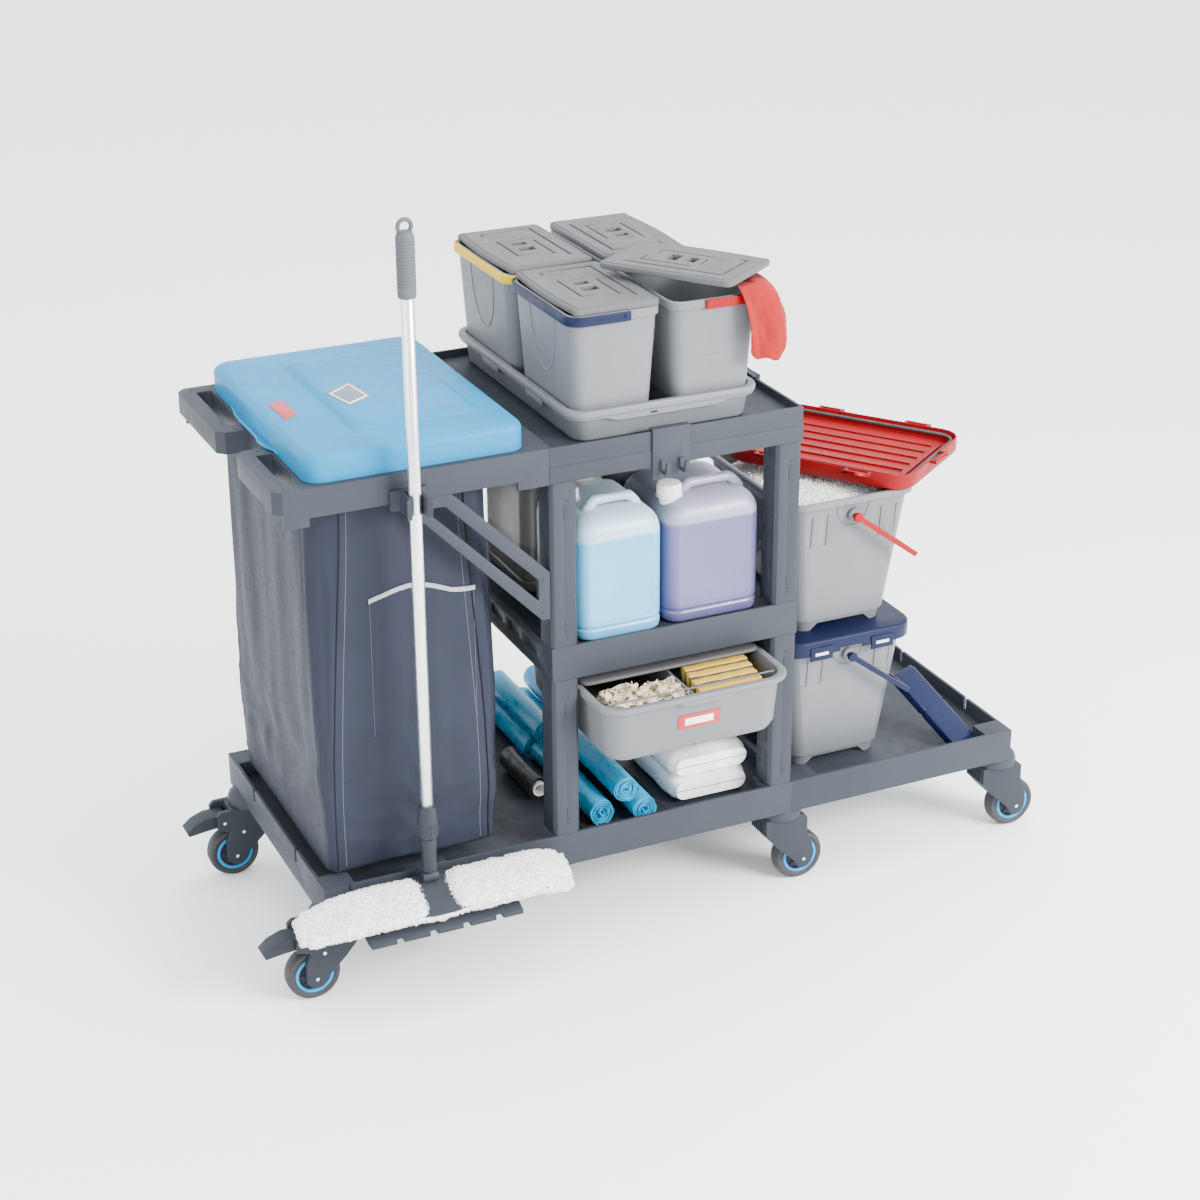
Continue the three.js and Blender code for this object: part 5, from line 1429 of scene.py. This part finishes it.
glove_heap = finished("drawer_gloves", gloves, "drawer", glove_latex, (), angle=180,
                      outward=False)
thickened(glove_heap, "drawer", 0.6)
liner = bmesh.new()
block(liner, 530, 679, -74, 14, 440, 486)
finished("drawer_glove_box", liner, "drawer", glove_latex, (), 6.0, segments=4)


def foam(name, colour, pores=220.0):
    """Open celled foam with painted shade in its pores."""
    paint, tree, shader, where = wired(name)
    cells = tree.nodes.new("ShaderNodeTexVoronoi")
    cells.inputs["Scale"].default_value = pores
    tree.links.new(where, cells.inputs["Vector"])
    # Painted shade: the colour darkens to 0.6 in the pits of the cells, where the bump is lowest.
    pore_shade = ranged(tree, cells.outputs["Distance"], 0.1, 0.35, 1, 0)
    tree.links.new(blended(tree, pore_shade, colour, shade(colour, 0.6)), shader.inputs["Base Color"])
    shader.inputs["Roughness"].default_value = 0.95
    raised(tree, shader, cells.outputs["Distance"], 0.5, 1.0)
    return paint


sponge_yellow = foam("sponge_yellow", (0.5, 0.3, 0.03))
scour_black = foam("scour_black", (0.03, 0.032, 0.03), 420.0)
for item in range(4):
    sy = -68 + item * 24
    lean = 5 + item
    for part, y0, y1, paint in (("foam", 0, 17, sponge_yellow), ("scourer", 17.2, 22.2, scour_black)):
        bm = bmesh.new()
        rings = []
        for x in [698 + 3 * item + 8 * k for k in range(17)]:
            soft = 1.2 * noise.noise(Vector((x * 0.05, item * 2.0, y0 * 0.1)))
            rings.append([(x, sy + y0 + soft, 445), (x, sy + y1 + soft, 445),
                          (x, sy + y1 + lean + soft, 505 + item * 1.6 + soft),
                          (x, sy + y0 + lean + soft, 505 + item * 1.6 + soft)])
        skin(bm, rings)
        finished(f"sponge_{item}_{part}", bm, "drawer", paint, (), 2.0 if y0 == 0 else 0.8, segments=3, angle=60)

# ---- Canisters on the middle shelf ---------------------------------------------------------------
# Blow moulded ten litre canisters of milky polyethylene: a pressed front panel, sloping shoulders,
# a hand loop moulded in one with the top, and a ribbed white screw cap.
def filled(name, liquid, empty, level):
    """Milky plastic that shows the colour of what is inside it up to a level."""
    paint, tree, shader, where = wired(name)
    split = tree.nodes.new("ShaderNodeSeparateXYZ")
    tree.links.new(where, split.inputs["Vector"])
    wobble = cloudy(tree, where, 10.0, 2.0)
    share = ranged(tree, split.outputs["Z"], (level - 5) * MM, (level + 3) * MM, 0, 1)
    deep = blended(tree, ranged(tree, wobble, 0.3, 0.7, 0, 1), shade(liquid, 0.93), shade(liquid, 1.07))
    tree.links.new(blended(tree, share, deep, empty), shader.inputs["Base Color"])
    wear = cloudy(tree, where, 50.0, 8.0, 0.7)
    tree.links.new(ranged(tree, wear, 0.35, 0.75, 0.28, 0.45), shader.inputs["Roughness"])
    shader.inputs["Subsurface Weight"].default_value = 0.35
    shader.inputs["Subsurface Scale"].default_value = 0.02
    shader.inputs["Subsurface Radius"].default_value = (0.8, 0.9, 1.0)
    raised(tree, shader, wobble, 0.25, 4.0)
    return paint


cap_white = moulded("cap_white", (0.72, 0.72, 0.71), 0.45, 900, 0.1, 0.1)
CANISTERS = [("blue", 505, 672, 24, 236, (0.1, 0.36, 0.58), (0.36, 0.5, 0.58), 786, 60),
             ("purple", 681, 869, 28, 242, (0.1, 0.09, 0.2), (0.25, 0.25, 0.33), 788, 14),
             ("clear", 503, 672, 262, 470, (0.17, 0.165, 0.16), (0.26, 0.255, 0.25), 690, 60),
             ("violet", 681, 869, 262, 470, (0.12, 0.11, 0.2), (0.25, 0.25, 0.3), 770, 14)]
for key, x0, x1, y0, y1, liquid, empty, level, cap_in in CANISTERS:
    cx, cy, w, d = (x0 + x1) / 2, (y0 + y1) / 2, x1 - x0, y1 - y0
    look = filled("canister_" + key, liquid, empty, level)
    bm = bmesh.new()
    skin(bm, stacked(cx, cy, w, d, [
        (14, 20, 595.4), (5, 27, 597), (1.4, 29, 601), (0, 30, 608), (0, 30, 616), (1.8, 29, 619),
        (1.8, 29, 622), (0, 30, 625), (0, 30, 782), (1, 30, 794), (4, 29, 805), (10, 27, 815),
        (20, 24, 823), (34, 20, 828), (50, 14, 830)], 8))
    panel = bmesh.new()
    outline = [(px, pz) for px, pz, _ in rounded(cx, 708, w - 44, 156, 18, 0, 6)]
    for front, back in ((y0 - 3, y0 + 1.8), (y1 - 1.8, y1 + 3)):
        plank(panel, "y", outline, front, back)
    finished(f"canister_{key}_body", bm, "frame", look, (), 1.4, carve=panel, angle=40,
             segments=3)
    arch = bmesh.new()
    hx0, hx1 = (x0 + 44, x1 - 22) if cap_in < 40 else (x0 + 36, x1 - 30)
    path = []
    for step in range(25):
        share = step / 24
        rise = min(1.0, math.sin(math.pi * share) * 1.9) ** 0.7
        path.append((hx0 + (hx1 - hx0) * share, y0 + 58, 817 + 25 * rise))
    pipe(arch, path, [11 - 2.6 * math.sin(math.pi * i / 24) for i in range(25)], 14)
    finished(f"canister_{key}_loop", arch, "frame", look, (), angle=80)
    cap_x = x0 + 24 if cap_in < 40 else x0 + 26
    cap_y = y0 + 112 if cap_in > 40 else y0 + 50
    cap = bmesh.new()
    lathe(cap, "z", [(17, 814), (19, 828), (24, 829), (24, 831), (21.4, 832), (21.4, 850), (20, 852.4),
                     (16, 853)], (cap_x, cap_y, 0), 40)
    ridges(cap, (cap_x, cap_y), 21.4, 833, 849, 36, 0.7, 5)
    finished(f"canister_{key}_cap", cap, "frame", cap_white, (), angle=40)

# ---- Liner rolls and paper packs on the base -----------------------------------------------------
# Thin blue bin liners wound into soft rolls, one black roll on a white core, and two packs of
# folded paper towels in clear film.
def film(name, colour, crease=90.0):
    """Glossy thin film with sharp small creases, painted darker in their hollows and lighter on their crests:
    painted shade and painted light.
    """
    paint, tree, shader, where = wired(name)
    folds = cloudy(tree, where, crease, 5.0, 0.6, (1.0, 0.35, 1.0))
    # Painted light and shade: the colour follows the crease height, darker in the hollows and lighter on the
    # crests.
    tone = blended(tree, ranged(tree, folds, 0.35, 0.65, 0, 1), shade(colour, 0.85), shade(colour, 1.12))
    tree.links.new(tone, shader.inputs["Base Color"])
    tree.links.new(ranged(tree, folds, 0.3, 0.7, 0.2, 0.42), shader.inputs["Roughness"])
    shader.inputs["Specular IOR Level"].default_value = 0.22
    shader.inputs["Subsurface Weight"].default_value = 0.1
    shader.inputs["Subsurface Scale"].default_value = 0.006
    raised(tree, shader, folds, 0.6, 2.0)
    return paint


film_blue = film("film_blue", (0.0, 0.29, 0.52))
film_black = film("film_black", (0.018, 0.018, 0.02))
film_clear = film("film_clear", (0.86, 0.86, 0.86), 16.0)


def liner_roll(name, x, z, y0, y1, radius, look, core=4.0, turns=7, seed=0):
    """A wound sheet: its section is one long spiral, crushed a little towards its ends."""
    bm = bmesh.new()
    rings = []
    count = 34 * turns
    for step in range(17):
        share = step / 16
        y = y0 + (y1 - y0) * share
        end = max(0.0, abs(2 * share - 1) - 0.82) / 0.18
        outer, inner = [], []
        for i in range(count + 1):
            t = i / count
            angle = 2 * math.pi * turns * t
            reach = core + (radius - core) * t
            wobble = noise.noise(Vector((math.cos(angle) * 1.4, math.sin(angle) * 1.4, share * 4 + seed)))
            reach *= 1 + 0.07 * wobble * (0.5 + end) + 0.02 * math.sin(angle * 3 + seed)
            shift = end * 7 * noise.noise(Vector((angle * 0.35, seed, 4))) * (1 if share > 0.5 else -1)
            px, pz = x + reach * math.cos(angle), z + reach * math.sin(angle)
            outer.append((px, y + shift, pz))
            thin = reach - min(1.3, (radius - core) / turns * 0.5)
            inner.append((x + thin * math.cos(angle), y + shift, z + thin * math.sin(angle)))
        rings.append(outer + inner[::-1])
    rows = [[bm.verts.new(Vector(point) * MM) for point in ring] for ring in rings]
    size = len(rows[0])
    for low, high in zip(rows, rows[1:]):
        for i in range(size):
            j = (i + 1) % size
            bm.faces.new((low[j], low[i], high[i], high[j]))
    for row, flip in ((rows[0], False), (rows[-1], True)):
        for i in range(count):
            quad = (row[i], row[i + 1], row[size - 2 - i], row[size - 1 - i])
            bm.faces.new(quad[::-1] if flip else quad)
    return finished(name, bm, "frame", look, (), angle=50)


ROLLS = [(559, 231, 52, 330), (605, 272.5, 45, 340), (637, 231, 31, 330), (556, 284, 300, 545),
         (612, 231, 345, 560), (548, 232, 340, 560), (640, 274, 345, 556)]
for item, (x, z, y0, y1) in enumerate(ROLLS):
    liner_roll(f"liner_roll_{item}", x, z, y0, y1, 26, film_blue, seed=item * 3)
liner_roll("black_roll", 492, 229, 190, 330, 24, film_black, core=15, turns=4, seed=40)
core_tube = bmesh.new()
lathe(core_tube, "y", [(14, 186), (14, 334), (11, 334), (11, 186), (14, 186)], (492, 0, 229), 40, False)
finished("black_roll_core", core_tube, "frame", cap_white, (), angle=40)
sheet_black = bmesh.new()
rows = []
for i in range(40):
    line = []
    for j in range(24):
        x, y = 520 + i * 4.4, 42 + j * 9
        z = 204.4 + 3.2 * (noise.noise(Vector((x * 0.05, y * 0.05, 1))) + 0.6)
        line.append((x, y, max(204.2, z)))
    rows.append(line)
skin(sheet_black, rows, False, False, False)
loose = finished("loose_liner", sheet_black, "frame", film_black, (), angle=180)
thickened(loose, "frame", 0.5, 1)
for item, (z0, z1) in enumerate(((205, 254), (255, 303))):
    pack = bmesh.new()
    rings = []
    for step in range(40):
        share = step / 39
        y = 62 + 232 * share
        end = eased(min(share, 1 - share) * 9)
        ring = []
        tall = (z1 - z0) * (0.72 + 0.28 * end)
        for x, z, _ in rounded(790, (z0 + z1) / 2, 148 + 10 * end, tall, 18, 0, 6):
            soft = 2.2 * noise.noise(Vector((x * 0.03, y * 0.03, z * 0.04 + item * 5)))
            ring.append((x + soft, y, min(z1, max(z0, z + soft * 0.8))))
        rings.append(ring[::-1])
    skin(pack, rings)
    finished(f"paper_pack_{item}", pack, "frame", film_clear, (), 2.0, angle=60, segments=3)
